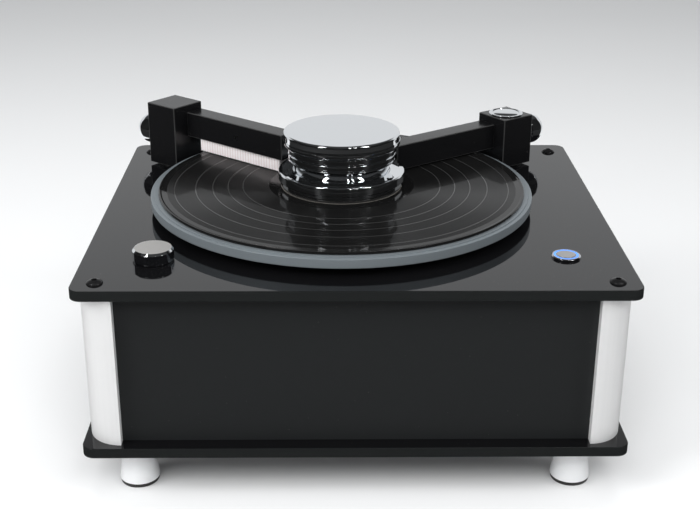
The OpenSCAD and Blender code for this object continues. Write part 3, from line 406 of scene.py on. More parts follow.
@dataclass(frozen=True)
class Finish:
    """A solid finish with its relief, its marks of use and its place in the record.

    Attributes:
        name: The finish's name.
        slot: The record's material slot.
        color: The base colour.
        roughness: The least and the greatest roughness.
        metallic: 1 for bare metal.
        ior: The index of refraction of its surface.
        grain: The kind of fine relief.
        grain_scale: How fine the relief is.
        relief: The relief's depth in metres.
        tone: How far the colour varies, as a share.
        dust: The share of dust specks.
        coat: The weight of a clear coat.
        sheen: The weight of a soft sheen.
        specular: The strength of a plain surface's gloss.
        centre: The centre of a turned relief.
    """

    name: str
    slot: str
    color: Color
    roughness: tuple[float, float]
    metallic: float = 0.0
    ior: float = 1.5
    grain: Grain = Grain.SMOOTH
    grain_scale: float = 3000.0
    relief: float = 0.00001
    tone: float = 0.06
    dust: float = 0.0
    coat: float = 0.0
    sheen: float = 0.0
    specular: float = 0.5
    centre: tuple[float, float, float] = (0.0, 0.0, 0.0)

    def build(self, groups: SharedGroups) -> bpy.types.Material:
        """Makes the material.

        Args:
            groups: The shared node groups.

        Returns:
            The finished material.
        """
        work = ShaderWork(self.name)
        place = work.position(Vector(self.centre))
        marks = work.group(groups.handling, {"Place": place, "Dust": self.dust})
        if self.grain is Grain.TURNED:
            relief = work.group(groups.rings, {"Place": place, "Pitch": 1.0 / self.grain_scale})
        else:
            stretch = GRAIN_STRETCH.get(self.grain, EVEN)
            inputs = {"Place": place, "Stretch": stretch, "Scale": self.grain_scale}
            relief = work.group(groups.grain, inputs)
        height, tone = relief.outputs["Height"], relief.outputs["Tone"]
        dark = tuple(c * (1.0 - self.tone) for c in self.color)
        light = tuple(min(1.0, c * (1.0 + self.tone)) for c in self.color)
        color = work.mix(tone, dark, light)
        if self.dust > 0.0:
            color = work.mix(marks.outputs["Dust specks"], color, DUST_COLOR)
        work.dress({
            "Base Color": color,
            "Roughness": work.span(marks.outputs["Smears"], *self.roughness),
            "Metallic": self.metallic,
            "IOR": self.ior,
            "Coat Weight": self.coat,
            "Sheen Weight": self.sheen,
            "Specular IOR Level": self.specular,
        })
        work.relief(height, self.relief)
        return work.material


@dataclass(frozen=True)
class VinylFinish:
    """Pressed vinyl: fine grooves, plain gaps between the tracks and a smooth edge.

    Attributes:
        pitch: The spacing of the modelled grooves.
        gaps: The radii of the gaps between tracks.
        gap_width: The width of such a gap.
        music: The least and greatest radius of the grooves.
        blacks: The darkest and the lightest black.
        line: The lighter colour of a gap, a painted reflection of its smooth vinyl.
        dust: The colour of the dust.
        smooth: The roughness outside the grooves.
        spread: The grooved area's roughness.
        streak: How far the gloss spreads across the grooves.
        gloss: The strength of the grooves' gloss.
        lands: The share of the surface between the grooves, which mirrors.
        lands_roughness: The roughness of that share.
        depth: The relief of the grooves in metres.
    """

    pitch: float = 0.6 * MM
    gaps: tuple[float, ...] = (81.6 * MM, 93.8 * MM, 106.3 * MM, 120.3 * MM, 137.5 * MM)
    gap_width: float = 0.6 * MM
    music: tuple[float, float] = (60 * MM, 143.5 * MM)
    blacks: tuple[Color, Color] = (grey(0.003), grey(0.009))
    # The gaps' lighter colour is a painted reflection of their smooth, ungrooved vinyl.
    line: Color = grey(0.045)
    dust: Color = grey(0.1)
    smooth: float = 0.08
    spread: float = 0.42
    streak: float = 1.0
    gloss: float = 0.13
    lands: float = 0.2
    lands_roughness: float = 0.04
    depth: float = 0.000003

    def build(self, groups: SharedGroups) -> bpy.types.Material:
        """Makes the material.

        Args:
            groups: The shared node groups.

        Returns:
            The finished material.
        """
        work = ShaderWork("pressed_vinyl")
        place = work.position(SPINDLE)
        rings = work.group(groups.rings, {"Place": place, "Pitch": self.pitch}).outputs
        marks = work.group(groups.handling, {"Place": place, "Dust": 0.02, "Dust size": 700.0})
        gap = self._bands(work, rings["Radius"])
        grooved = self._grooved(work, rings["Radius"], gap)
        # The gaps between tracks get a lighter colour: a painted reflection.
        lined = work.mix(gap, work.mix(rings["Tone"], *self.blacks), self.line)
        work.dress({
            "Base Color": work.mix(marks.outputs["Dust specks"], lined, self.dust),
            "Roughness": work.span(grooved, self.smooth, self.spread),
            "IOR": 1.52,
            "Anisotropic": self.streak,
            "Specular IOR Level": self.gloss,
            "Coat Weight": self.lands,
            "Coat Roughness": self.lands_roughness,
            "Tangent": self._outward(work, place),
        })
        work.relief(work.math("MULTIPLY", rings["Height"], grooved), self.depth)
        return work.material

    @staticmethod
    def _outward(work: ShaderWork, place: bpy.types.NodeSocket) -> bpy.types.NodeSocket:
        """Gives the direction away from the spindle, across the grooves."""
        return work.add(
            "ShaderNodeVectorTransform",
            {"Vector": work.stretched(place, (1.0, 1.0, 0.0))},
            vector_type="VECTOR",
            convert_from="OBJECT",
            convert_to="WORLD",
        ).outputs[0]

    def _bands(self, work: ShaderWork, radius: bpy.types.NodeSocket) -> bpy.types.NodeSocket:
        """Adds up the masks of the gaps between tracks."""
        total: bpy.types.NodeSocket | float = 0.0
        for middle in self.gaps:
            band = work.math("COMPARE", radius, middle, self.gap_width / 2)
            total = work.math("ADD", total, band)
        return total

    def _grooved(
        self, work: ShaderWork, radius: bpy.types.NodeSocket, gap: bpy.types.NodeSocket
    ) -> bpy.types.NodeSocket:
        """Gives 1 where the grooves are and 0 elsewhere."""
        low, high = self.music
        inside = work.math("COMPARE", radius, (low + high) / 2, (high - low) / 2)
        return work.math("MULTIPLY", inside, work.math("SUBTRACT", 1.0, gap))


@dataclass(frozen=True)
class BristleFinish:
    """Pale nylon bristles in tufts, with painted shade between the tufts.

    Attributes:
        tuft: The spacing of the tufts.
        centre: A point on the arm's line.
        turn: The arm's direction in radians.
        pale: The darkest and the lightest bristle's colour.
        tuft_gap_shade: The darker colour between two tufts, a painted shade in the gaps.
        strand_scale: How fine the change from bristle to bristle is.
    """

    tuft: float
    centre: tuple[float, float, float]
    turn: float
    pale: tuple[Color, Color] = ((0.9, 0.85, 0.86), (1.0, 0.98, 0.98))
    # The colour between tufts is painted shade in the gaps.
    tuft_gap_shade: Color = (0.8, 0.7, 0.69)
    strand_scale: float = 900.0

    def build(self) -> bpy.types.Material:
        """Makes the material.

        Returns:
            The finished material.
        """
        work = ShaderWork("nylon_bristles")
        place = work.position(Vector(self.centre), self.turn)
        along = work.add("ShaderNodeSeparateXYZ", {0: place}).outputs[0]
        wave = work.math("SINE", work.math("MULTIPLY", along, math.tau / self.tuft))
        # Darker lines between the tufts: painted shade in the gaps.
        tuft_gap_shade = work.add(
            "ShaderNodeMapRange", {"Value": wave, "From Min": 0.35, "From Max": 1.0}
        ).outputs[0]
        fine = work.noise(place, self.strand_scale)
        work.dress({
            "Base Color": work.mix(tuft_gap_shade, work.mix(fine, *self.pale), self.tuft_gap_shade),
            "Roughness": work.span(fine, low=0.4, high=0.6),
            "Sheen Weight": 0.2,
        })
        return work.material


@dataclass(frozen=True)
class GlowFinish:
    """A lit ring behind a diffuser.

    Attributes:
        blues: The deepest and the palest colour of the light.
        strength: The light's strength.
        spot_scale: How fine the light's unevenness is.
    """

    blues: tuple[Color, Color] = ((0.04, 0.17, 0.8), (0.1, 0.33, 0.95))
    strength: float = 0.6
    spot_scale: float = 260.0

    def build(self) -> bpy.types.Material:
        """Makes the material.

        Returns:
            The finished material.
        """
        work = ShaderWork("lit_ring")
        tint = work.mix(work.noise(work.position(), self.spot_scale), *self.blues)
        work.dress({
            "Emission Color": tint,
            "Base Color": tint,
            "Emission Strength": self.strength,
            "Roughness": 0.3,
        })
        return work.material


SPINDLE_POINT = tuple(SPINDLE)
FINISHES = {
    finish.name: finish
    for finish in (
        Finish("polished_acrylic", "black_gloss", (0.004, 0.004, 0.0045), (0.012, 0.05), ior=1.49,
               relief=0.0000002, dust=0.012),
        Finish("acrylic_edge", "black_gloss", (0.01, 0.011, 0.011), (0.18, 0.3), ior=1.49,
               grain=Grain.ALONG_Z, relief=0.000004),
        Finish("satin_panel", "black_satin", (0.013, 0.014, 0.0145), (0.34, 0.44), specular=0.4,
               grain=Grain.MOULDED, grain_scale=2400.0, relief=0.000008, dust=0.006),
        Finish("satin_columns", "satin_aluminium", (0.88, 0.88, 0.88), (0.34, 0.42), metallic=0.45,
               grain=Grain.ALONG_Z, grain_scale=2600.0, relief=0.000006, tone=0.03),
        Finish("bright_feet", "bright_aluminium", (0.95, 0.96, 0.97), (0.26, 0.32), metallic=0.3,
               grain=Grain.ALONG_X, relief=0.000003, tone=0.02),
        Finish("machined_metal", "machined_aluminium", (0.7, 0.71, 0.72), (0.25, 0.4), metallic=1.0,
               grain=Grain.ALONG_X, relief=0.00001),
        Finish("frosted_platter", "platter_metal", (0.23, 0.26, 0.28), (0.36, 0.46), metallic=0.5,
               grain=Grain.TURNED, grain_scale=2600.0, relief=0.000004, centre=SPINDLE_POINT),
        Finish("mirror_chrome", "chrome", (0.84, 0.86, 0.88), (0.02, 0.05), metallic=1.0,
               relief=0.0000002, tone=0.01),
        Finish("warm_satin", "chrome", (0.78, 0.76, 0.73), (0.3, 0.36), metallic=1.0,
               grain=Grain.TURNED, grain_scale=3200.0, relief=0.000001, tone=0.02),
        Finish("bezel_metal", "bright_aluminium", (0.62, 0.63, 0.66), (0.12, 0.18), metallic=1.0,
               grain=Grain.TURNED, grain_scale=3200.0, relief=0.000001, tone=0.02),
        Finish("cap_satin", "bright_aluminium", (0.5, 0.5, 0.51), (0.3, 0.4), metallic=0.75,
               grain=Grain.MOULDED, grain_scale=3200.0, relief=0.000002, tone=0.03),
        Finish("ground_steel", "steel", (0.62, 0.63, 0.65), (0.2, 0.32), metallic=1.0,
               grain=Grain.ALONG_Z, relief=0.000004),
        Finish("black_screws", "black_steel", (0.02, 0.02, 0.021), (0.22, 0.34), metallic=0.6,
               grain=Grain.MOULDED, relief=0.000004),
        Finish("sintered_bronze", "bronze", (0.62, 0.45, 0.24), (0.4, 0.55), metallic=1.0,
               grain=Grain.MOULDED, relief=0.00002),
        Finish("turned_brass", "brass", (0.72, 0.56, 0.3), (0.2, 0.35), metallic=1.0,
               grain=Grain.ALONG_X, relief=0.000006),
        Finish("arm_black", "arm_black", (0.005, 0.005, 0.0055), (0.2, 0.3), grain=Grain.MOULDED,
               grain_scale=5000.0, relief=0.000003, dust=0.01),
        # A painted edge highlight: a lighter colour on the arms' bevelled edges stands in for the
        # light that they catch.
        Finish("painted_edge_highlight", "arm_black", (0.03, 0.03, 0.03), (0.34, 0.42), grain=Grain.MOULDED,
               grain_scale=5000.0, relief=0.000003, specular=0.9),
        Finish("bright_screw", "steel", (0.7, 0.7, 0.72), (0.3, 0.36), metallic=0.6,
               relief=0.000002),
        Finish("matt_rubber", "rubber", (0.018, 0.017, 0.017), (0.6, 0.75), grain=Grain.MOULDED,
               grain_scale=1800.0, relief=0.00002, sheen=0.1),
        Finish("moulded_black", "black_plastic", (0.02, 0.02, 0.021), (0.38, 0.5),
               grain=Grain.MOULDED, grain_scale=1500.0, relief=0.00002),
        Finish("moulded_grey", "grey_plastic", (0.2, 0.21, 0.23), (0.4, 0.5), grain=Grain.MOULDED,
               grain_scale=1500.0, relief=0.00002),
        Finish("milky_plastic", "tank_plastic", (0.75, 0.77, 0.78), (0.35, 0.45),
               grain=Grain.MOULDED, relief=0.00001),
        Finish("red_plastic", "red_plastic", (0.5, 0.03, 0.02), (0.25, 0.35), grain=Grain.MOULDED,
               relief=0.00001),
        Finish("circuit_board", "board", (0.03, 0.2, 0.08), (0.2, 0.35), grain=Grain.ALONG_X,
               relief=0.00001, coat=0.3),
        Finish("black_velvet", "velvet", (0.02, 0.02, 0.02), (0.8, 0.95), grain=Grain.MOULDED,
               grain_scale=6000.0, relief=0.00008, sheen=0.6),
        Finish("record_label", "vinyl", (0.2, 0.19, 0.17), (0.5, 0.6), grain=Grain.MOULDED,
               relief=0.000006),
    )
}

KEPT_NODES = {
    "satin_panel": ("front_panel", "rear_panel", "left_panel", "right_panel"),
    "machined_metal": ("bearing_housing", "power_supply", "platter_pulley", "motor_pulley",
                       "turbine_impeller"),
    "sintered_bronze": ("bearing_bushes", "thrust_washer", "pivot_bushes"),
    "ground_steel": ("drive_motor", "motor_bracket", "motor_shaft", "knob_shaft", "brush_pivot",
                     "suction_pivot"),
    "matt_rubber": ("drive_belt", "turbine_mount", "suction_hose", "turbine_hose"),
    "moulded_grey": ("turbine_housing",),
    "milky_plastic": ("waste_tank",),
    "moulded_black": ("tank_lid", "mode_switch", "brush_back"),
    "circuit_board": ("control_board",),
}


class Palette:
    """Every material of the machine, each built once when it is first asked for."""

    def __init__(self) -> None:
        """Builds the shared groups."""
        self.groups = SharedGroups()
        self._made: dict[str, bpy.types.Material] = {}

    def __getitem__(self, name: str) -> bpy.types.Material:
        """Gives a finish's material.

        Args:
            name: The finish's name.

        Returns:
            The material.
        """
        if name not in self._made:
            self._made[name] = FINISHES[name].build(self.groups)
        return self._made[name]

    @staticmethod
    def slot(name: str) -> str:
        """Gives the record's slot of a finish."""
        return FINISHES[name].slot


def rounded(points: list[tuple[float, float, float]], steps: int = 5) -> Outline:
    """Rounds the corners of an outline.

    Args:
        points: Radius, height and corner radius of each point, all in mm.
        steps: The number of straight stretches in a rounded corner.

    Returns:
        The outline in metres.
    """
    outline: Outline = []
    for i, (r, z, fillet) in enumerate(points):
        here = Vector((r, z))
        if fillet <= 0.0 or i in (0, len(points) - 1):
            outline.append((r * MM, z * MM))
            continue
        before = Vector(points[i - 1][:2]) - here
        after = Vector(points[i + 1][:2]) - here
        half = before.angle(after) / 2
        room = min(before.length, after.length) * NEARLY_HALF
        reach = min(fillet / math.tan(half), room)
        start, end = here + before.normalized() * reach, here + after.normalized() * reach
        for k in range(steps + 1):
            t = k / steps
            point = (1 - t) ** 2 * start + 2 * t * (1 - t) * here + t**2 * end
            outline.append((point.x * MM, point.y * MM))
    return outline


def arc_points(
    centre: tuple[float, float], size: tuple[float, float], sweep: tuple[float, float], steps: int
) -> list[tuple[float, float, float]]:
    """Gives points along an elliptic arc, as an outline's points without rounding.

    Args:
        centre: The arc's centre in mm.
        size: Its two half axes in mm.
        sweep: Its first and last angle in degrees.
        steps: The number of stretches.

    Returns:
        The points.
    """
    first, last = (math.radians(a) for a in sweep)
    angles = [first + (last - first) * k / steps for k in range(steps + 1)]
    return [
        (centre[0] + size[0] * math.cos(a), centre[1] + size[1] * math.sin(a), 0.0) for a in angles
    ]


def lathe(outline: Outline, steps: int, closed: bool = False) -> bmesh.types.BMesh:
    """Turns an outline about the Z axis.

    Args:
        outline: Radius and height of each point.
        steps: The number of segments round the axis.
        closed: Whether the last point joins the first, as in a ring.

    Returns:
        The turned mesh.
    """
    bm = bmesh.new()
    verts = [bm.verts.new((r, 0.0, z)) for r, z in outline]
    pairs = list(zip(verts, verts[1:])) + ([(verts[-1], verts[0])] if closed else [])
    edges = [bm.edges.new(pair) for pair in pairs]
    bmesh.ops.spin(
        bm,
        geom=verts + edges,
        cent=(0.0, 0.0, 0.0),
        axis=UP,
        angle=math.tau,
        steps=steps,
        use_merge=True,
    )
    bmesh.ops.remove_doubles(bm, verts=bm.verts, dist=WELD)
    bmesh.ops.recalc_face_normals(bm, faces=bm.faces)
    return bm


def bevel(
    bm: bmesh.types.BMesh, edges: list[bmesh.types.BMEdge], width: float, segments: int
) -> None:
    """Bevels some of a mesh's edges.

    Args:
        bm: The mesh.
        edges: The edges.
        width: The bevel's width.
        segments: The bevel's segments.
    """
    bmesh.ops.bevel(
        bm,
        geom=edges,
        offset=width,
        offset_type="OFFSET",
        segments=segments,
        profile=0.5,
        affect="EDGES",
        clamp_overlap=True,
        material=-1,
    )


def soften(bm: bmesh.types.BMesh, width: float, segments: int = 3, limit: float = 25.0) -> None:
    """Bevels a mesh's sharp edges.

    Args:
        bm: The mesh.
        width: The bevel's width.
        segments: The bevel's segments.
        limit: The least angle of a sharp edge, in degrees.
    """
    least = math.radians(limit)
    sharp = [e for e in bm.edges if e.is_manifold and e.calc_face_angle(0.0) > least]
    bevel(bm, sharp, width, segments)


def block(low: Vector, high: Vector) -> bmesh.types.BMesh:
    """Makes an upright box between two corners.

    Args:
        low: Its lowest corner.
        high: Its highest corner.

    Returns:
        The box.
    """
    bm = bmesh.new()
    bmesh.ops.create_cube(bm, size=1.0)
    bmesh.ops.scale(bm, vec=high - low, verts=bm.verts)
    bmesh.ops.translate(bm, vec=(low + high) / 2, verts=bm.verts)
    return bm


def join(parts: list[bmesh.types.BMesh]) -> bmesh.types.BMesh:
    """Puts several meshes into the first one.

    Args:
        parts: The meshes, all but the first of which are freed.

    Returns:
        The first mesh.
    """
    whole = parts[0]
    for part in parts[1:]:
        spare = bpy.data.meshes.new("spare")
        part.to_mesh(spare)
        part.free()
        whole.from_mesh(spare)
        bpy.data.meshes.remove(spare)
    return whole


@dataclass
class SubAssembly:
    """A group of pieces with one way to finish and mount them.

    Attributes:
        palette: The machine's materials.
        frame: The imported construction.
    """

    palette: Palette
    frame: dict

    def mount(
        self,
        name: str,
        bm: bmesh.types.BMesh,
        body: Body,
        finish: str | bpy.types.Material,
        stands_for: tuple[str, ...] = (),
        slot: str = "",
    ) -> bpy.types.Object:
        """Turns a mesh into a piece and hangs it on its body.

        Args:
            name: The piece's name.
            bm: Its mesh, which is freed.
            body: The body that carries it.
            finish: The finish's name, or a material of its own.
            stands_for: The construction's nodes that it replaces.
            slot: The record's slot, where the finish is a material; not used.

        Returns:
            The piece.
        """
        for face in bm.faces:
            face.smooth = True
        mesh = bpy.data.meshes.new(name)
        bm.to_mesh(mesh)
        bm.free()
        own = isinstance(finish, bpy.types.Material)
        mesh.materials.append(finish if own else self.palette[finish])
        piece = bpy.data.objects.new(name, mesh)
        bpy.context.scene.collection.objects.link(piece)
        shading = piece.modifiers.new("even_shading", "WEIGHTED_NORMAL")
        shading.keep_sharp = True
        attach(piece, body.value)
        slot or self.palette.slot(finish)
        if stands_for:
            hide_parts(*stands_for)
        LOG.info("%s rides on %s with %d faces", name, body.value, len(mesh.polygons))
        return piece

    def turn(
        self,
        name: str,
        outline: Outline,
        at: Vector,
        *mounting: object,
        steps: int = 128,
        closed: bool = False,
    ) -> bpy.types.Object:
        """Turns an outline about an upright axis and mounts it.

        Args:
            name: The piece's name.
            outline: Its outline.
            at: The axis' place, and the height that the outline counts from.
            mounting: What `mount` takes after the mesh.
            steps: The number of segments round the axis.
            closed: Whether the outline is a ring's.

        Returns:
            The piece.
        """
        bm = lathe(outline, steps, closed)
        bmesh.ops.translate(bm, vec=at, verts=bm.verts)
        return self.mount(name, bm, *mounting)

    def recast(
        self, node: str, body: Body, finish: str, width: float = 0.0, crease: float = 30.0
    ) -> bpy.types.Object:
        """Makes a clean, softly shaded copy of a construction node.

        Args:
            node: The node's name.
            body: The body that carries it.
            finish: The finish's name.
            width: The width of the bevel on its sharp edges.
            crease: The least angle of an edge that stays sharp, in degrees.

        Returns:
            The piece.
        """
        bm = bmesh.new()
        bm.from_mesh(self.frame["nodes"][node].data)
        bmesh.ops.remove_doubles(bm, verts=bm.verts, dist=NODE_WELD)
        if width > 0.0:
            bmesh.ops.dissolve_limit(
                bm, angle_limit=math.radians(1.0), verts=bm.verts, edges=bm.edges
            )
            soften(bm, width, segments=2, limit=crease)
        for edge in bm.edges:
            edge.smooth = edge.calc_face_angle(0.0) < math.radians(crease)
        return self.mount(f"{node}_finished", bm, body, finish, (node,))


@dataclass
class Cabinet(SubAssembly):
    """Plates, panels, columns, feet and screws. The feet's sizes are in mm."""

    upright: ClassVar[float] = 0.9
    flat: ClassVar[float] = 0.95
    width: float = 406 * MM
    depth: float = 342 * MM
    thickness: float = 8 * MM
    corner: float = 9 * MM
    edge: float = 0.45 * MM
    foot_x: float = 166 * MM
    foot_y: float = 140.5 * MM
    foot_base_r: float = 15.3
    foot_top_r: float = 11.0
    pad_h: float = 3.0

    def build(self) -> None:
        """Makes every piece of the cabinet."""
        self._plate("top_plate", LEVEL.ceiling)
        self._plate("bottom_plate", LEVEL.foot)
        self.recast("corner_columns", Body.CABINET, "satin_columns", crease=25.0)
        self.recast("plate_screws", Body.CABINET, "black_screws", crease=35.0)
        self._feet()

    def _plate(self, node: str, low: float) -> None:
        """Makes one plate with round corners and a broken edge.

        Args:
            node: The plate's node.
            low: The height of its underside.
        """
        half = Vector((self.width / 2, self.depth / 2, 0.0))
        bm = block(Vector((-half.x, -half.y, low)), Vector((half.x, half.y, low + self.thickness)))
        ways = ((e, (e.verts[0].co - e.verts[1].co).normalized()) for e in bm.edges)
        corners = [e for e, way in ways if abs(way.z) > self.upright]
        bevel(bm, corners, self.corner, segments=12)
        soften(bm, self.edge, limit=60.0)
        for face in bm.faces:
            face.material_index = 0 if abs(face.normal.z) > self.flat else 1
        piece = self.mount(f"{node}_slab", bm, Body.CABINET, "polished_acrylic", (node,))
        piece.data.materials.append(self.palette["acrylic_edge"])

    def _feet(self) -> None:
        """Makes the four turned feet and their pads."""
        low, high, wide, narrow = self.pad_h, LEVEL.foot / MM, self.foot_base_r, self.foot_top_r
        cone = rounded([
            (0, low, 0), (wide, low, 0.7), (narrow + 0.1, high - 0.8, 0.2), (narrow - 0.5, high, 0),
            (0, high, 0),
        ])
        pad = rounded([(0, 0, 0), (wide - 0.8, 0, 0.5), (wide - 0.6, low, 0.3), (0, low, 0)])
        cones, pads = [], []
        for x in (-self.foot_x, self.foot_x):
            for y in (-self.foot_y, self.foot_y):
                for outline, store in ((cone, cones), (pad, pads)):
                    part = lathe(outline, steps=96)
                    bmesh.ops.translate(part, vec=(x, y, 0.0), verts=part.verts)
                    store.append(part)
        self.mount("feet_turned", join(cones), Body.CABINET, "bright_feet", ("feet",))
        self.mount("foot_pads_moulded", join(pads), Body.CABINET, "matt_rubber", ("foot_pads",))


@dataclass
class Turntable(SubAssembly):
    """The platter and the record on it. Its sizes are in mm."""

    platter_r: float = 156.8
    ledge: float = 3.2
    ledge_drop: float = 0.8
    hub_r: float = 30.0
    bore_r: float = 5.03
    pin_r: float = 3.63
    record_r: float = 150.5
    record_gap: float = 0.02
    label_r: float = 50.0

    def build(self) -> None:
        """Makes the platter, the record, its label and the spindle."""
        self._platter()
        self._record()
        self.recast("spindle", Body.PLATTER, "ground_steel")

    def _platter(self) -> None:
        """Makes the frosted platter with its stepped rim."""
        low, high, r = LEVEL.platter / MM, LEVEL.platter_top / MM, self.platter_r
        hub_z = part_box("platter")[0].z / MM
        step, inner = high - self.ledge_drop, r - self.ledge
        outline = rounded([
            (self.bore_r, hub_z, 0), (self.hub_r, hub_z, 0.4), (self.hub_r, low, 0.2),
            (r, low, 0.9), (r, step, 0.5), (inner, step, 0.15), (inner, high, 0.2),
            (self.pin_r, high, 0),
        ])
        self.turn(
            "platter_turned", outline, SPINDLE, Body.PLATTER, "frosted_platter", ("platter",),
            steps=256,
        )

    def _record(self) -> None:
        """Makes the record with its raised bead, and its plain label."""
        low, high = LEVEL.platter_top / MM + self.record_gap, LEVEL.record_top / MM
        r, pin_r, label_r = self.record_r, self.pin_r, self.label_r
        sunk, middle, under = high - 0.2, high - 0.05, high - 0.06
        outline = rounded([
            (pin_r, low, 0), (r - 0.4, low, 0.5), (r, (low + high) / 2, 0.6),
            (r - 0.4, high, 0.5), (r - 1.5, high, 0.6), (r - 2.6, sunk, 0.6),
            (label_r + 1.4, sunk, 0.5), (label_r + 0.4, middle, 0.3), (pin_r, middle, 0),
        ])
        vinyl = VinylFinish().build(self.palette.groups)
        self.turn(
            "record_pressed", outline, SPINDLE, Body.PLATTER, vinyl, ("record",), "vinyl",
            steps=256, closed=True,
        )
        paper = rounded([
            (pin_r, under, 0), (label_r, under, 0), (label_r, high, 0), (pin_r, high, 0),
        ])
        self.turn("record_label", paper, SPINDLE, Body.PLATTER, "record_label", closed=True)


@dataclass
class Clamp(SubAssembly):
    """The chromed weight on the record. Its sizes are in mm."""

    base_r: float = 52.3
    height: float = 46.2
    base_h: float = 13.8
    waist_r: float = 39.0
    cap_r: float = 48.3
    bore_r: float = 3.68
    seal_bore_r: float = 34.0
    ring_pitch: float = 5.1

    def build(self) -> None:
        """Makes the rubber ring, the base and the grip."""
        self._turn("clamp_seal_moulded", self._seal(), "matt_rubber", "clamp_seal", True)
        self._turn("clamp_base_turned", self._base(), "mirror_chrome", "clamp_base", True)
        self._turn("clamp_grip_turned", self._grip(), "mirror_chrome", "clamp_grip", False)

    def _turn(self, name: str, outline: Outline, finish: str, node: str, closed: bool) -> None:
        """Turns one piece of the clamp and seats it on the record."""
        at = SPINDLE + UP * LEVEL.clamp
        self.turn(name, outline, at, Body.CLAMP, finish, (node,), steps=256, closed=closed)

    def _seal(self) -> Outline:
        """Outlines the rubber ring."""
        out, bore = self.base_r - 2.8, self.seal_bore_r
        return rounded([(bore, 0, 0), (out, 0, 0.4), (out, 1.9, 0.3), (bore, 1.9, 0)])

    def _base(self) -> Outline:
        """Outlines the base: a band, a groove, a rounded rim and a nearly flat top."""
        band, r, h = self.base_r - 1.8, self.base_r, self.base_h
        return rounded([
            (self.bore_r, 1.9, 0), (band, 1.9, 0.6), (band, 5.5, 0.35), (band - 1, 5.5, 0.2),
            (band - 1, 6.3, 0.2), (r - 0.5, 6.3, 0.3), (r, 6.9, 0.4), (r, h - 0.2, 2.6),
            (r - 3.4, h, 0.9), (self.waist_r + 1.2, h - 0.5, 0.3), (self.waist_r + 0.6, h - 0.9, 0),
            (self.waist_r + 0.6, h - 2.2, 0), (self.bore_r, h - 2.2, 0),
        ])

    def _grip(self) -> Outline:
        """Outlines the grip: a hollow waist, two ring grooves and a round cap."""
        seat = self.base_h - 2.2
        neck = self.waist_r + 3.6
        first = seat + 12.2
        second = first + self.ring_pitch
        cap = second + self.ring_pitch
        waist_size = (neck + 1.2 - self.waist_r, 9.4)
        waist = arc_points((neck + 1.2, seat + 1.2), waist_size, (180, 100), steps=14)
        brim = arc_points((self.cap_r - 3.6, cap + 4.4), (3.6, 3.9), (-86, 34), steps=16)
        return rounded([
            (0, seat, 0), (self.waist_r, seat, 0), *waist,
            (neck + 1.3, first - 1.1, 0.3), (neck + 1.3, first - 0.2, 0.2),
            (neck + 0.1, first, 0.2), (neck + 0.1, first + 0.7, 0.2),
            (neck + 1.6, first + 1.1, 0.4), (neck + 1.8, second - 0.4, 0.5),
            (neck + 0.5, second, 0.2), (neck + 0.5, second + 0.7, 0.2),
            (neck + 2.1, second + 1.1, 0.4), (neck + 2.3, cap - 0.4, 0.5),
            (neck + 1.1, cap, 0.2), (neck + 1.1, cap + 0.5, 0.2), *brim,
            (self.cap_r - 0.6, self.height, 2.6), (0, self.height, 0),
        ])


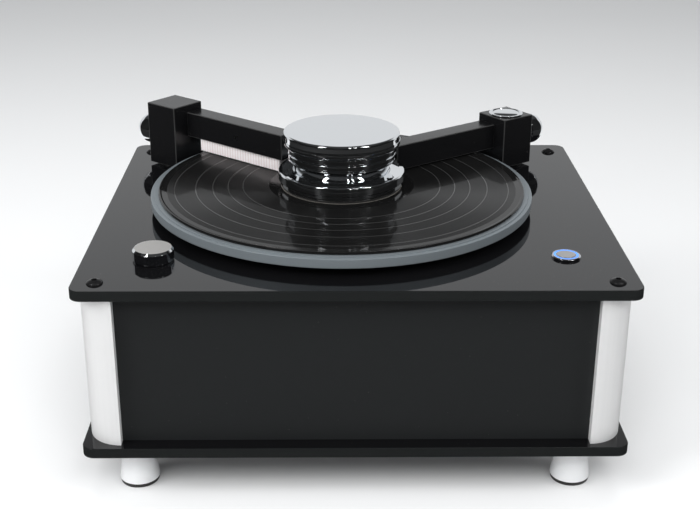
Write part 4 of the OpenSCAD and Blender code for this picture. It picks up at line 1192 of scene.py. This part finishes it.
@dataclass
class Arm(SubAssembly):
    """A tower, the arm on it and the round knob on its back.

    Attributes:
        name: The arm's name, which starts its nodes' names.
        body: The body that carries it.
        pivot: The pivot's place in plan.
        degrees: The arm's direction from +X.
        reach: The arm's length from the pivot.
        low: The height of the arm's underside.
        middle: The sideways place of the arm's middle.
        knob_r: The knob's radius in mm.
    """

    flat: ClassVar[float] = 0.97
    name: str = ""
    body: Body = Body.BRUSH_ARM
    pivot: Vector = field(default_factory=Vector)
    degrees: float = 0.0
    reach: float = 0.0
    low: float = 0.0
    middle: float = 0.0
    beam_width: float = 18 * MM
    beam_height: float = 22 * MM
    tower_side: float = 34 * MM
    tower_rise: float = 6.5 * MM
    knob_up: float = 25.5 * MM
    knob_r: float = 13.5
    edge: float = 0.7 * MM

    @property
    def place(self) -> Matrix:
        """The arm's frame: +X runs along it from the pivot."""
        return Matrix.Translation(self.pivot) @ Matrix.Rotation(math.radians(self.degrees), 4, "Z")

    @property
    def top(self) -> float:
        """The height of the arm's upper face."""
        return self.low + self.beam_height

    def set_down(self, bm: bmesh.types.BMesh) -> bmesh.types.BMesh:
        """Moves a mesh from the arm's frame to its place."""
        bmesh.ops.transform(bm, matrix=self.place, verts=bm.verts)
        return bm

    def bar(self, name: str, bm: bmesh.types.BMesh, node: str) -> None:
        """Breaks a block's edges, gives them a lighter colour as a painted edge highlight and
        mounts it on the arm.

        Args:
            name: The piece's name.
            bm: The block in the arm's frame.
            node: The construction's node that it replaces.
        """
        soften(bm, self.edge)
        # The bevel faces get the lighter colour of a painted edge highlight.
        for face in bm.faces:
            face.material_index = 0 if max(abs(c) for c in face.normal) > self.flat else 1
        piece = self.mount(name, self.set_down(bm), self.body, "arm_black", (node,))
        piece.data.materials.append(self.palette["painted_edge_highlight"])

    def tower(self) -> None:
        """Makes the square tower."""
        half = self.tower_side / 2
        high = self.top + self.tower_rise
        bm = block(Vector((-half, -half, LEVEL.tower)), Vector((half, half, high)))
        self.bar(f"{self.name}_tower_block", bm, f"{self.name}_tower")

    def beam(self) -> bmesh.types.BMesh:
        """Makes the arm's bar, still in the arm's frame."""
        start = self.tower_side / 2
        side = self.beam_width / 2
        return block(
            Vector((start, self.middle - side, self.low)),
            Vector((self.reach, self.middle + side, self.top)),
        )

    def knob(self) -> None:
        """Makes the round knob with its flange, groove and dome."""
        r = self.knob_r
        dome = arc_points((0, 13.0), (r, 12.0), (0, 90), steps=24)
        outline = rounded([
            (0, -8, 0), (4, -8, 0), (4, 0, 0), (8, 0, 0), (8, 1.2, 0.2), (r, 1.2, 0.8),
            (r, 4.5, 0.5), (r - 1.4, 4.6, 0.2), (r - 1.4, 5.3, 0.2), (r, 5.4, 0.5), *dome,
        ])
        bm = lathe(outline, steps=128)
        turn = Matrix.Translation((-self.tower_side / 2, 0.0, LEVEL.tower + self.knob_up))
        bmesh.ops.transform(
            bm, matrix=self.place @ turn @ Matrix.Rotation(-math.pi / 2, 4, "Y"), verts=bm.verts
        )
        node = f"{self.name}_knob"
        self.mount(f"{node}_turned", bm, self.body, "mirror_chrome", (node,))


@dataclass
class BrushArm(Arm):
    """The arm that carries the bristles.

    Attributes:
        seed: The start of the bristles' random draws.
        strand_r: A bristle's radius.
        strand_pitch: The distance from bristle to bristle along the arm.
        rows: The number of rows across the arm.
        lean: How far a bristle's tip may stand aside, in mm.
        wear: How unevenly long the bristles are, in mm.
        rooted: How deep a bristle sits in the arm.
        taper: A tip's radius as a share of its root's.
        first_corner: The angle of a bristle's first corner, in radians.
    """

    field_start: float = 29.8 * MM
    field_length: float = 94 * MM
    field_width: float = 11.6 * MM
    bristle_length: float = 11.5 * MM
    tuft_pitch: float = 3.1 * MM
    seed: int = 7
    strand_r: float = 0.16 * MM
    strand_pitch: float = 0.3 * MM
    rows: int = 16
    lean: float = 0.12
    wear: float = 0.06
    rooted: float = 0.5 * MM
    taper: float = 0.7
    first_corner: float = 0.3

    def build(self) -> None:
        """Makes every piece of the brush arm."""
        self.tower()
        self.bar("brush_beam_bar", self.beam(), "brush_beam")
        self.knob()
        self._bristles()
        self.recast("brush_set_screw", self.body, "bright_screw")

    def _bristles(self) -> None:
        """Makes the tufts of fine bristles."""
        chance = random.Random(self.seed)
        start_y = self.middle - self.field_width / 2
        bm = bmesh.new()
        for i in range(int(self.field_length / self.strand_pitch)):
            for j in range(self.rows):
                x = self.field_start + (i + 0.5 + 0.25 * (j % 2)) * self.strand_pitch
                y = start_y + (j + 0.5) * self.field_width / self.rows
                aside = Vector((chance.uniform(-1, 1), chance.uniform(-1, 1), 0.0))
                drop = self.bristle_length - abs(chance.gauss(0.0, self.wear)) * MM
                root = Vector((x, y, self.low + self.rooted))
                self._strand(bm, root, aside * self.lean * MM, drop)
        finish = BristleFinish(self.tuft_pitch, tuple(self.pivot), math.radians(self.degrees))
        self.mount(
            "brush_bristle_tufts", self.set_down(bm), self.body, finish.build(),
            ("brush_bristles",), "bristle",
        )

    def _strand(self, bm: bmesh.types.BMesh, root: Vector, lean: Vector, drop: float) -> None:
        """Adds one three-sided bristle.

        Args:
            bm: The mesh that takes it.
            root: Its upper end.
            lean: How far its lower end stands aside.
            drop: Its length.
        """
        angles = [self.first_corner + k * math.tau / 3 for k in range(3)]
        ring = [Vector((math.cos(a), math.sin(a), 0.0)) * self.strand_r for a in angles]
        tip = root + lean - UP * (drop + self.rooted)
        upper = [bm.verts.new(root + p) for p in ring]
        lower = [bm.verts.new(tip + p * self.taper) for p in ring]
        for k in range(3):
            n = (k + 1) % 3
            bm.faces.new((upper[k], lower[k], lower[n], upper[n]))
        bm.faces.new(lower[::-1])


@dataclass
class SuctionArm(Arm):
    """The arm that draws the fluid off through a slot. Its cap's radius is in mm."""

    slot_start: float = 37 * MM
    slot_end: float = 122.5 * MM
    slot_width: float = 3 * MM
    slot_depth: float = 12 * MM
    lip_width: float = 3.5 * MM
    lip_height: float = 0.8 * MM
    lip_edge: float = 0.3 * MM
    cap_r: float = 15.2

    def build(self) -> None:
        """Makes every piece of the suction arm."""
        self.tower()
        self._beam()
        self.knob()
        self._lips()
        self._cap()

    def _beam(self) -> None:
        """Makes the bar with its slot below."""
        bm = self.beam()
        middle, half = self.middle, self.slot_width / 2
        cuts = [((x, 0, 0), (1, 0, 0)) for x in (self.slot_start, self.slot_end)]
        cuts += [((0, y, 0), (0, 1, 0)) for y in (middle - half, middle + half)]
        for point, normal in cuts:
            whole = bm.verts[:] + bm.edges[:] + bm.faces[:]
            bmesh.ops.bisect_plane(bm, geom=whole, plane_co=point, plane_no=normal)
        centre = Vector(((self.slot_start + self.slot_end) / 2, self.middle, self.low))
        mouth = [f for f in bm.faces if (f.calc_center_median() - centre).length < 1 * MM]
        pulled = bmesh.ops.extrude_face_region(bm, geom=mouth)["geom"]
        bmesh.ops.delete(bm, geom=mouth, context="FACES")
        verts = [g for g in pulled if isinstance(g, bmesh.types.BMVert)]
        bmesh.ops.translate(bm, vec=UP * self.slot_depth, verts=verts)
        bmesh.ops.recalc_face_normals(bm, faces=bm.faces)
        self.bar("suction_beam_bar", bm, "suction_beam")

    def _lips(self) -> None:
        """Makes the velvet strips beside the slot."""
        strips = []
        for side in (-1, 1):
            y = self.middle + side * (self.slot_width + self.lip_width) / 2
            strip = block(
                Vector((self.slot_start, y - self.lip_width / 2, self.low - self.lip_height)),
                Vector((self.slot_end, y + self.lip_width / 2, self.low)),
            )
            soften(strip, self.lip_edge, segments=2)
            strips.append(strip)
        self.mount(
            "suction_lips_velvet", self.set_down(join(strips)), self.body, "black_velvet",
            ("suction_lips",),
        )

    def _cap(self) -> None:
        """Makes the domed cap on the tower."""
        r = self.cap_r
        dome = arc_points((0, 0.5), (r - 3.2, 1.9), (4, 90), steps=18)
        outline = rounded([
            (0, -4, 0), (9, -4, 0.3), (9, 0, 0), (r, 0, 0.2), (r, 1.1, 0.5), (r - 1.9, 1.3, 0.4),
            (r - 2.4, 0.6, 0.2), *dome,
        ])
        at = self.pivot + UP * (self.top + self.tower_rise)
        self.turn("suction_cap_turned", outline, at, self.body, "mirror_chrome", ("suction_cap",))


@dataclass
class Controls(SubAssembly):
    """The mode knob and the lit power button. Its sizes are in mm."""

    flat: ClassVar[float] = 0.98
    knob_r: float = 15.3
    knob_h: float = 10.0
    knob_bevel: float = 1.6
    bezel_r: float = 11.0
    ring: tuple[float, float] = (7.72, 9.18)
    cap_r: float = 7.0

    def build(self) -> None:
        """Makes every piece of the controls."""
        r, h, bevel_w = self.knob_r, self.knob_h, self.knob_bevel
        knob = rounded([
            (0, 0.3, 0), (r - 0.6, 0.3, 0.2), (r - 0.6, 1.3, 0.2), (r, 1.3, 0.2),
            (r, h - bevel_w, 0.3), (r - bevel_w, h, 0.3), (0, h, 0),
        ])
        piece = self._seat("mode_knob_turned", knob, Body.KNOB, "mirror_chrome", "mode_knob")
        piece.data.materials.append(self.palette["warm_satin"])
        for face in piece.data.polygons:
            face.material_index = 1 if face.normal.z > self.flat else 0
        r, (inner, outer) = self.bezel_r, self.ring
        bezel = rounded([
            (9.22, -20, 0), (9.4, -20, 0), (9.4, 0, 0), (r, 0, 0.1), (r, 1.4, 0.4),
            (r - 0.8, 2.0, 0.2), (9.22, 2.0, 0.2), (9.22, 1.2, 0), (7.68, 1.2, 0),
            (7.68, 2.0, 0.15), (7.1, 2.0, 0.15), (7.1, -9, 0), (9.0, -9, 0),
        ])
        self._seat(
            "button_bezel_turned", bezel, Body.CABINET, "bezel_metal", "button_bezel", True
        )
        glow = rounded([(inner, 1.2, 0), (outer, 1.2, 0), (outer, 2.03, 0.15), (inner, 2.03, 0.15)])
        lit = GlowFinish().build()
        self._seat("led_ring_lit", glow, Body.CABINET, lit, "led_ring", True, "blue_light")
        r = self.cap_r
        cap = rounded([(0, -6, 0), (r, -6, 0), (r, 2.3, 0.4), (5.5, 2.3, 0), (0, 2.25, 0)])
        self._seat("button_cap_turned", cap, Body.BUTTON, "cap_satin", "button_cap")

    def _seat(
        self,
        name: str,
        outline: Outline,
        body: Body,
        finish: str | bpy.types.Material,
        node: str,
        closed: bool = False,
        slot: str = "",
    ) -> bpy.types.Object:
        """Turns one control and seats it on the top plate, where its node stands."""
        low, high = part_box(node)
        at = Vector(((low.x + high.x) / 2, (low.y + high.y) / 2, LEVEL.top))
        return self.turn(name, outline, at, body, finish, (node,), slot, closed=closed)


@dataclass
class RearFittings(SubAssembly):
    """What is on the rear panel and under the towers."""

    def build(self) -> None:
        """Finishes each fitting."""
        self.recast("mains_inlet", Body.CABINET, "moulded_black", width=0.25 * MM)
        self.recast("switch_housing", Body.CABINET, "moulded_black")
        self.recast("drain_valve", Body.CABINET, "turned_brass")
        self.recast("pivot_sockets", Body.CABINET, "machined_metal")

    def kept(self) -> None:
        """Gives the construction's own hidden and flat nodes their finishes."""
        for finish, nodes in KEPT_NODES.items():
            for node in nodes:
                self._dress(node, finish)
        self._dress("mains_rocker", "moulded_black")
        self._dress("drain_lever", "red_plastic")

    def _dress(self, node: str, finish: str) -> None:
        """Puts a material on a construction node."""
        data = self.frame["nodes"][node].data
        data.materials.clear()
        data.materials.append(self.palette[finish])


@dataclass(frozen=True)
class Lamp:
    """A soft box or a strip, which faces the machine.

    Attributes:
        name: The lamp's name.
        azimuth: Its direction from +X, in degrees.
        elevation: Its height above the horizon, in degrees.
        size: Its width and height in metres.
        power: Its power in watts.
        mirrored: Whether glossy surfaces show it.
        distance: Its distance from what it faces.
    """

    name: str
    azimuth: float
    elevation: float
    size: tuple[float, float]
    power: float
    mirrored: bool = False
    distance: float = 2.0

    def hang(self, target: Vector) -> None:
        """Hangs the lamp.

        Args:
            target: The point that it faces.
        """
        way, rise = math.radians(self.azimuth), math.radians(self.elevation)
        flat = math.cos(rise)
        ray = Vector((math.cos(way) * flat, math.sin(way) * flat, math.sin(rise)))
        data = bpy.data.lights.new(self.name, "AREA")
        data.shape = "RECTANGLE"
        data.size, data.size_y = self.size
        data.energy = self.power
        lamp = bpy.data.objects.new(self.name, data)
        lamp.location = target + ray * self.distance
        lamp.rotation_mode = "QUATERNION"
        lamp.rotation_quaternion = (-ray).to_track_quat("-Z", "Y")
        lamp.visible_camera = False
        lamp.visible_glossy = self.mirrored
        bpy.context.scene.collection.objects.link(lamp)


LAMPS = (
    Lamp("overhead", 90.0, 80.0, (1.5, 1.2), 14.0),
    Lamp("left_box", 205.0, 28.0, (0.9, 1.0), 22.0),
    Lamp("right_box", 338.0, 26.0, (0.8, 0.9), 12.0),
    Lamp("front_box", 270.0, 40.0, (1.4, 0.6), 16.0),
    Lamp("low_box", 240.0, 9.0, (0.9, 0.5), 6.5),
    Lamp("left_strip", 223.0, 46.0, (0.22, 0.85), 5.5, True),
    Lamp("right_strip", 326.0, 46.0, (0.18, 0.8), 4.2, True),
    Lamp("thin_strip", 288.0, 46.0, (0.07, 0.6), 0.9, True),
    Lamp("thinner_strip", 301.0, 46.0, (0.05, 0.6), 0.7, True),
)


@dataclass
class Studio:
    """The camera, the floor, the surroundings and the lamps.

    Attributes:
        focal_px: The lens' length in the photograph's pixels.
        image_px: The photograph's width in pixels.
        sensor: The sensor's width in mm.
        eye: The camera's place.
        pitch: How far the camera looks down, in degrees.
        yaw: How far it looks to the right, in degrees.
        roll: How far it leans, in degrees.
        target: The point that the lamps face.
        sky: The surroundings' colour.
        pale: The strength of the low surroundings in a mirror.
        dim: The strength of the ceiling in a mirror.
        fill: The strength of the surroundings' light.
        dusk: The span over which pale turns to dim, as a share of straight up.
        floor_size: The floor's half width.
        floor_tones: Its darkest and its lightest colour.
        card_sweep: The dark card's first angle and its sweep, in degrees.
        card_profile: The distance and height of the card's edges.
        card_color: Its colour.
    """

    focal_px: float = 1217.33
    image_px: float = 700.0
    sensor: float = 36.0
    eye: Vector = field(default_factory=lambda: Vector((-17.68, -946.79, 519.6)) * MM)
    pitch: float = 22.465
    yaw: float = 0.904
    roll: float = 0.265
    target: Vector = field(default_factory=lambda: UP * 0.12)
    sky: Color = (0.97, 0.985, 1.0)
    pale: float = 0.76
    dim: float = 0.05
    fill: float = 0.42
    dusk: tuple[float, float] = (0.43, 0.58)
    floor_size: float = 8.0
    floor_tones: tuple[Color, Color] = ((0.78, 0.785, 0.79), (0.8, 0.805, 0.81))
    card_sweep: tuple[float, float] = (150.0, 240.0)
    card_profile: tuple[tuple[float, float], ...] = ((0.12, 0.002), (2.6, 0.002), (2.6, 2.8))
    card_color: Color = grey(0.012)

    def camera(self) -> None:
        """Sets the camera at the photograph's viewing angle."""
        p, y, r = (math.radians(a) for a in (self.pitch, self.yaw, self.roll))
        ahead = Vector((math.sin(y) * math.cos(p), math.cos(y) * math.cos(p), -math.sin(p)))
        right = Vector((math.cos(y), -math.sin(y), 0.0))
        up = right.cross(ahead)
        side = math.cos(r) * right + math.sin(r) * up
        head = -math.sin(r) * right + math.cos(r) * up
        data = bpy.data.cameras.new("photo_camera")
        data.sensor_width = self.sensor
        data.lens = self.focal_px * self.sensor / self.image_px
        data.clip_start, data.clip_end = 0.01, 50.0
        camera = bpy.data.objects.new("photo_camera", data)
        turn = Matrix((side, head, -ahead)).transposed()
        camera.matrix_world = Matrix.Translation(self.eye) @ turn.to_4x4()
        bpy.context.scene.collection.objects.link(camera)
        bpy.context.scene.camera = camera

    def build(self) -> None:
        """Makes the floor, the dark card, the world and the lamps."""
        bpy.context.scene.view_settings.view_transform = "Standard"
        self._world()
        self._floor()
        self._card()
        for lamp in LAMPS:
            lamp.hang(self.target)

    def _world(self) -> None:
        """Makes the surroundings: pale low down, dark above for what mirrors them."""
        world = bpy.data.worlds.new("studio")
        bpy.context.scene.world = world
        world.use_nodes = True
        work = NodeWork(world.node_tree)
        path = work.add("ShaderNodeLightPath").outputs
        mirrored = work.math("MAXIMUM", path["Is Glossy Ray"], path["Is Transmission Ray"])
        way = work.add("ShaderNodeTexCoord").outputs["Generated"]
        rise = work.add("ShaderNodeSeparateXYZ", {0: way}).outputs["Z"]
        low, high = self.dusk
        ends = {"From Min": low, "From Max": high, "To Min": self.pale, "To Max": self.dim}
        overhead = work.add(
            "ShaderNodeMapRange", {"Value": rise, **ends}, interpolation_type="SMOOTHSTEP"
        ).outputs[0]
        seen = work.math("MULTIPLY", path["Is Camera Ray"], 1.0 - self.fill)
        lit = work.math("ADD", seen, self.fill)
        strength = work.add(
            "ShaderNodeMix", {"Factor": mirrored, "A": lit, "B": overhead}, data_type="FLOAT"
        ).outputs[0]
        background = work.tree.nodes["Background"].inputs
        work.feed(background["Color"], (*self.sky, 1.0))
        work.feed(background["Strength"], strength)

    def _floor(self) -> None:
        """Makes the plain pale floor."""
        bm = bmesh.new()
        bmesh.ops.create_grid(bm, x_segments=1, y_segments=1, size=self.floor_size)
        work = ShaderWork("pale_floor")
        tone = work.noise(work.position(), scale=3.0)
        work.dress({"Base Color": work.mix(tone, *self.floor_tones), "Roughness": 0.7})
        self._stage_piece("floor", bm, work.material)

    def _card(self) -> None:
        """Lays and stands a dark card in front, which only reflections see."""
        bm = bmesh.new()
        start, sweep = (math.radians(a) for a in self.card_sweep)
        aside = Vector((math.cos(start), math.sin(start), 0.0))
        verts = [bm.verts.new(aside * r + UP * z) for r, z in self.card_profile]
        edges = [bm.edges.new(pair) for pair in zip(verts, verts[1:])]
        bmesh.ops.spin(bm, geom=verts + edges, cent=(0, 0, 0), axis=UP, angle=sweep, steps=48)
        work = ShaderWork("dark_cloth")
        work.dress({"Base Color": (*self.card_color, 1.0), "Roughness": 1.0})
        card = self._stage_piece("dark_card", bm, work.material)
        card.visible_camera = card.visible_diffuse = False
        card.visible_shadow = card.visible_transmission = False

    @staticmethod
    def _stage_piece(
        name: str, bm: bmesh.types.BMesh, material: bpy.types.Material
    ) -> bpy.types.Object:
        """Makes an object that isn't part of the machine."""
        mesh = bpy.data.meshes.new(name)
        bm.to_mesh(mesh)
        bm.free()
        mesh.materials.append(material)
        piece = bpy.data.objects.new(name, mesh)
        bpy.context.scene.collection.objects.link(piece)
        return piece


def main() -> None:
    """Dresses the whole machine."""
    logging.basicConfig(level=logging.INFO, format="%(name)s: %(message)s")
    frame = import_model()
    studio = Studio()
    studio.camera()
    palette = Palette()
    brush = BrushArm(
        palette, frame, "brush", Body.BRUSH_ARM, pivot=Vector((-159.2 * MM, TOWER_Y, 0.0)),
        degrees=-39.7, reach=129.8 * MM, low=199.8 * MM, middle=7.5 * MM,
    )
    suction = SuctionArm(
        palette, frame, "suction", Body.SUCTION_ARM, pivot=Vector((139.4 * MM, TOWER_Y, 0.0)),
        degrees=215.8, reach=128.5 * MM, low=189.0 * MM, middle=-4.7 * MM,
    )
    fittings = RearFittings(palette, frame)
    for part in (
        Cabinet(palette, frame), Turntable(palette, frame), Clamp(palette, frame), brush, suction,
        Controls(palette, frame), fittings,
    ):
        LOG.info("building %s", type(part).__name__)
        part.build()
    fittings.kept()
    studio.build()


if __name__ == "__main__":
    main()
